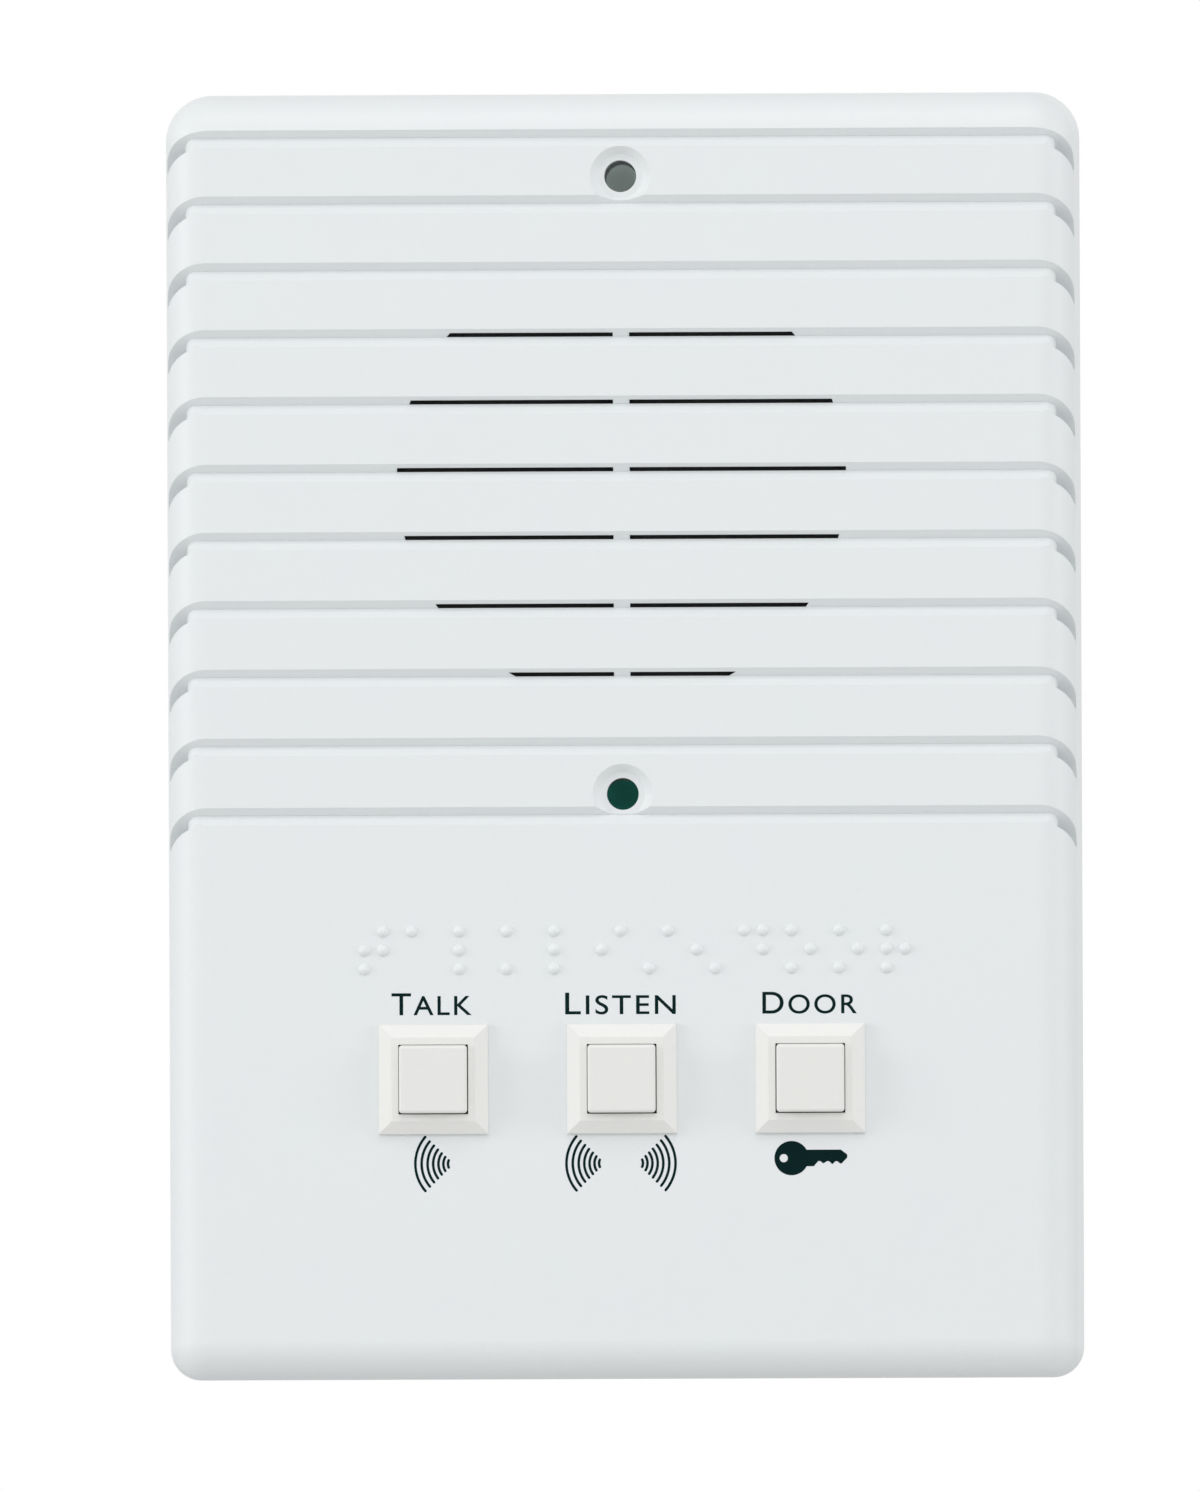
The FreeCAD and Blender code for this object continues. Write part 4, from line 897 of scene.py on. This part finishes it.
def printKey():
    x, z = middleOf("door_bezel")
    middle = (x / mm + doorKey["centre"], z / mm + printed["row"] + doorKey["row"])
    start, end = (math.asin(doorKey[height] / doorKey["bow"]) for height in ("shoulder", "foot"))
    bow = arc(middle, doorKey["bow"], start, end + math.tau, doorKey["bowSteps"])
    blade = [(middle[0] + u, middle[1] + v) for u, v in reversed(doorKey["blade"])]
    hole = circle((middle[0] + doorKey["holeShift"], middle[1]), doorKey["hole"])
    printCurve("door_key", outlined("door_key", [bow + blade, hole], printed["thickness"]))


addFinish("legendInk", legendInk)
for name, legend in legends.items():
    printLegend(name, **legend)
printWaves("talk", [(waves["talkCentre"], -1)])
printWaves("listen", list(zip(waves["listenCentres"], (-1, 1))))
printKey()
print("legends done")


# Solder and copper on the side of the board that the back plate's windows show

soldering = {
    "pinPitch": 8.0 * mm,
    "leadRadius": 0.55 * mm,
    # radius and height, in millimetres, from the foot of a joint to its tip
    "pinJoint": (
        (0.0, -0.03), (1.0, -0.03), (0.84, 0.10), (0.62, 0.38),
        (0.54, 0.78), (0.40, 0.98), (0.0, 1.05),
    ),
    "tagJoint": (
        (0.0, -0.34), (0.72, -0.28), (0.95, -0.05), (0.90, 0.30),
        (0.72, 0.62), (0.58, 0.86), (0.0, 0.90),
    ),
    "steps": 28,
}
copper = {
    # width and radii in millimetres
    "trackWidth": 1.3,
    "trackHeight": 0.05 * mm,
    "padOuter": 0.95,
    "padInner": 0.38,
    "padHeight": 0.07 * mm,
    # corners in millimetres from the middle of the terminal block, the last at a pad
    "routes": (
        ((-10.16, -3.5), (-10.16, -6.6), (-14.6, -11.0), (-18.8, -11.0)),
        ((-5.08, -3.5), (-5.08, -7.4), (-8.2, -10.5), (-8.2, -13.0)),
        ((0.0, -3.5), (0.0, -7.0), (3.0, -10.0), (3.0, -13.0)),
        ((5.08, -3.5), (5.08, -7.4), (8.2, -10.5), (8.2, -13.0)),
        ((10.16, -3.5), (10.16, -6.6), (14.6, -11.0), (18.8, -11.0)),
        ((-15.5, 3.0), (-15.5, -1.5), (-18.5, -4.5), (-18.5, -8.0)),
        ((15.5, 4.5), (15.5, 1.0), (18.5, -2.0), (18.5, -5.5)),
    ),
}
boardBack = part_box("circuit_board")[1][1]


def turnJoint(work, place, profile):
    # a fillet about an axis towards the wall; its profile starts and ends on that axis
    x, y, z = place
    count = soldering["steps"]
    rings = []
    for radius, height in profile:
        angles = [math.tau * k / count for k in range(count if radius else 1)]
        ring = [polar((x, z), radius * mm, angle) for angle in angles]
        rings.append([work.verts.new((u, y + height * mm, v)) for u, v in ring])
    for first, second in zip(rings, rings[1:]):
        for k in range(count):
            turns = ((first, k), (second, k), (second, k + 1), (first, k + 1))
            # a corner on the axis is there once only
            corners = dict.fromkeys(ring[turn % len(ring)] for ring, turn in turns)
            work.faces.new(list(corners)).smooth = True


def solderJoints(name, places, profile):
    work = bmesh.new()
    for place in places:
        turnJoint(work, place, profile)
    stationPiece(name, worked(name, work), "solder")


def solderPins():
    # each switch has a pin near each corner
    reach = soldering["pinPitch"] / 2
    places = [
        (x + side * reach, boardBack, z + end * reach)
        for x, z in map(middleOf, eachButton("bezel"))
        for side in (-1, 1)
        for end in (-1, 1)
    ]
    solderJoints("pin_solder", places, soldering["pinJoint"])


def solderTags():
    # where each lead's inner end meets its tag
    back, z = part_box("speaker_solder_tags")[1][1], middleOf("speaker_solder_tags")[1]
    places = []
    for lead in ("red_speaker_lead", "black_speaker_lead"):
        low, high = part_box(lead)
        inner = min(low[0], high[0], key=abs)
        places.append((inner + math.copysign(soldering["leadRadius"], inner), back, z))
    solderJoints("tag_solder", places, soldering["tagJoint"])


def ribbon(route, width):
    # outline of a flat track with mitred corners
    left, right = [], []
    corners = [Vector(corner) for corner in route]
    for k, corner in enumerate(corners):
        before = (corner - corners[k - 1]).normalized() if k else None
        after = (corners[k + 1] - corner).normalized() if k + 1 < len(corners) else None
        before, after = before or after, after or before
        across = (before + after).normalized().orthogonal()
        reach = width / 2 / across.dot(before.orthogonal())
        left.append(tuple(corner + across * reach))
        right.append(tuple(corner - across * reach))
    return left + right[::-1]


def printTracks():
    x, z = (value / mm for value in middleOf("terminal_block"))
    routes = [[(x + u, z + v) for u, v in route] for route in copper["routes"]]
    radii = (copper["padOuter"], copper["padInner"])
    tracks = [ribbon(route, copper["trackWidth"]) for route in routes]
    rings = [circle(route[-1], radius) for route in routes for radius in radii]
    for name, loops, height, finish, slot in (
        ("board_tracks", tracks, copper["trackHeight"], "trackLacquer", "board_laminate"),
        ("board_pads", rings, copper["padHeight"], "tinnedBrass", "tinned_brass"),
    ):
        flatPiece(name, outlined(name, loops, height), boardBack + height / 2, finish)


solderPins()
solderTags()
printTracks()
print("board details done")


# Light, floor and camera

studio = {
    "ambient": dict(colour=(0.985, 0.99, 1.0), strength=0.63),
    "shown": dict(colour=(1, 1, 1), strength=1.0),
    # where the softboxes point
    "aim": (0, -0.02, -0.034),
}
softboxes = {
    # power is in watts
    "leftSoftbox": dict(place=(-2.2, -0.9, 0.45), width=0.9, height=0.9, power=14.8),
    "rightSoftbox": dict(place=(2.2, -0.9, 0.40), width=0.9, height=0.9, power=9.0),
    "topSoftbox": dict(place=(0.0, -1.1, 1.6), width=1.2, height=0.6, power=6.0),
    "frontSoftbox": dict(place=(0.0, -2.4, 0.9), width=1.0, height=0.6, power=7.0),
}
floor = {
    "height": -0.6,
    "size": 8.0,
    "paint": ((0.74, 0.74, 0.73), (0.76, 0.76, 0.755)),
    "drift": dict(size=0.4, detail=2),
    "roughness": 0.8,
}
patches = {
    # what the wall screws' holes look onto
    "upperPatch": dict(height=41.65 * mm, paint=((0.60, 0.70, 0.63), (0.70, 0.79, 0.72))),
    "lowerPatch": dict(height=-41.65 * mm, paint=((0.015, 0.20, 0.15), (0.02, 0.26, 0.19))),
}
patch = {
    "radius": 2.8 * mm,
    "depth": 0.3 * mm,
    "segments": 48,
    "clouds": 3 * mm,
    "roughness": 0.9,
}
camera = {
    # roll is in degrees, lens and sensor are in millimetres
    "place": (0.0326, -3.0318, -0.0340),
    "target": (-0.00303, -0.0318, -0.0351),
    "roll": -0.24,
    "lens": 537.5,
    "sensor": 36,
}


def aimed(name, data, place, target, roll=0.0):
    # a light or camera that looks from one point to another
    holder = linked(name, data)
    turn = (Vector(target) - Vector(place)).to_track_quat("-Z", "Y")
    holder.location = place
    holder.rotation_mode = "QUATERNION"
    holder.rotation_quaternion = turn @ Quaternion((0, 0, 1), math.radians(roll))
    return holder


def background(graph, colour, strength):
    return graph.node("ShaderNodeBackground", None, {"Color": colour, "Strength": strength})


def lightWorld():
    # rays that show the surroundings find plain white, the others find the ambient light
    world = bpy.data.worlds.new("studio")
    bpy.context.scene.world = world
    world.use_nodes = True
    world.node_tree.nodes.clear()
    graph = Graph(world.node_tree)
    showing = [
        graph.node("ShaderNodeLightPath", output=f"Is {ray} Ray")
        for ray in ("Camera", "Glossy", "Transmission")
    ]
    ambient = background(graph, **studio["ambient"])
    shown = background(graph, **studio["shown"])
    factor = showing[0] + showing[1] + showing[2]
    mixed = graph.node("ShaderNodeMixShader", None, {0: factor, 1: ambient, 2: shown})
    graph.node("ShaderNodeOutputWorld", None, {"Surface": mixed})


def hangSoftbox(name, place, width, height, power):
    lamp = bpy.data.lights.new(name, "AREA")
    lamp.shape = "RECTANGLE"
    lamp.size = width
    lamp.size_y = height
    lamp.energy = power
    aimed(name, lamp, place, studio["aim"])


def stagePiece(name, work, material):
    mesh = worked(name, work)
    mesh.materials.append(material)
    linked(name, mesh)


def layFloor():
    work = bmesh.new()
    bmesh.ops.create_grid(work, x_segments=1, y_segments=1, size=floor["size"] / 2)
    bmesh.ops.translate(work, verts=work.verts, vec=(0, 0, floor["height"]))
    finish = Finish("floorPaint", Roughness=floor["roughness"])
    paint = finish.blend(finish.noise(**floor["drift"]), *floor["paint"])
    stagePiece("floor", work, finish.set(Base_Color=paint))


def shadeWall(name, height, paint):
    # a disc on the wall behind a hole, seen from the front only
    work = bmesh.new()
    bmesh.ops.create_circle(work, cap_ends=True, segments=patch["segments"], radius=patch["radius"])
    upright = Matrix.Rotation(math.pi / 2, 3, "X")
    bmesh.ops.rotate(work, verts=work.verts, cent=(0, 0, 0), matrix=upright)
    bmesh.ops.translate(work, verts=work.verts, vec=(0, patch["depth"], height))
    finish = Finish(name, Roughness=patch["roughness"])
    front = 1 - finish.node("ShaderNodeNewGeometry", output="Backfacing")
    colour = finish.blend(finish.noise(patch["clouds"]), *paint)
    stagePiece(name, work, finish.set(Base_Color=colour, Alpha=front))


def setCamera():
    lens = bpy.data.cameras.new("camera")
    lens.sensor_width = camera["sensor"]
    lens.lens = camera["lens"]
    holder = aimed("camera", lens, camera["place"], camera["target"], camera["roll"])
    bpy.context.scene.camera = holder


lightWorld()
for name, values in softboxes.items():
    hangSoftbox(name, **values)
layFloor()
for name, values in patches.items():
    shadeWall(name, **values)
setCamera()
bpy.context.scene.view_settings.view_transform = "Standard"
print("light and camera done")
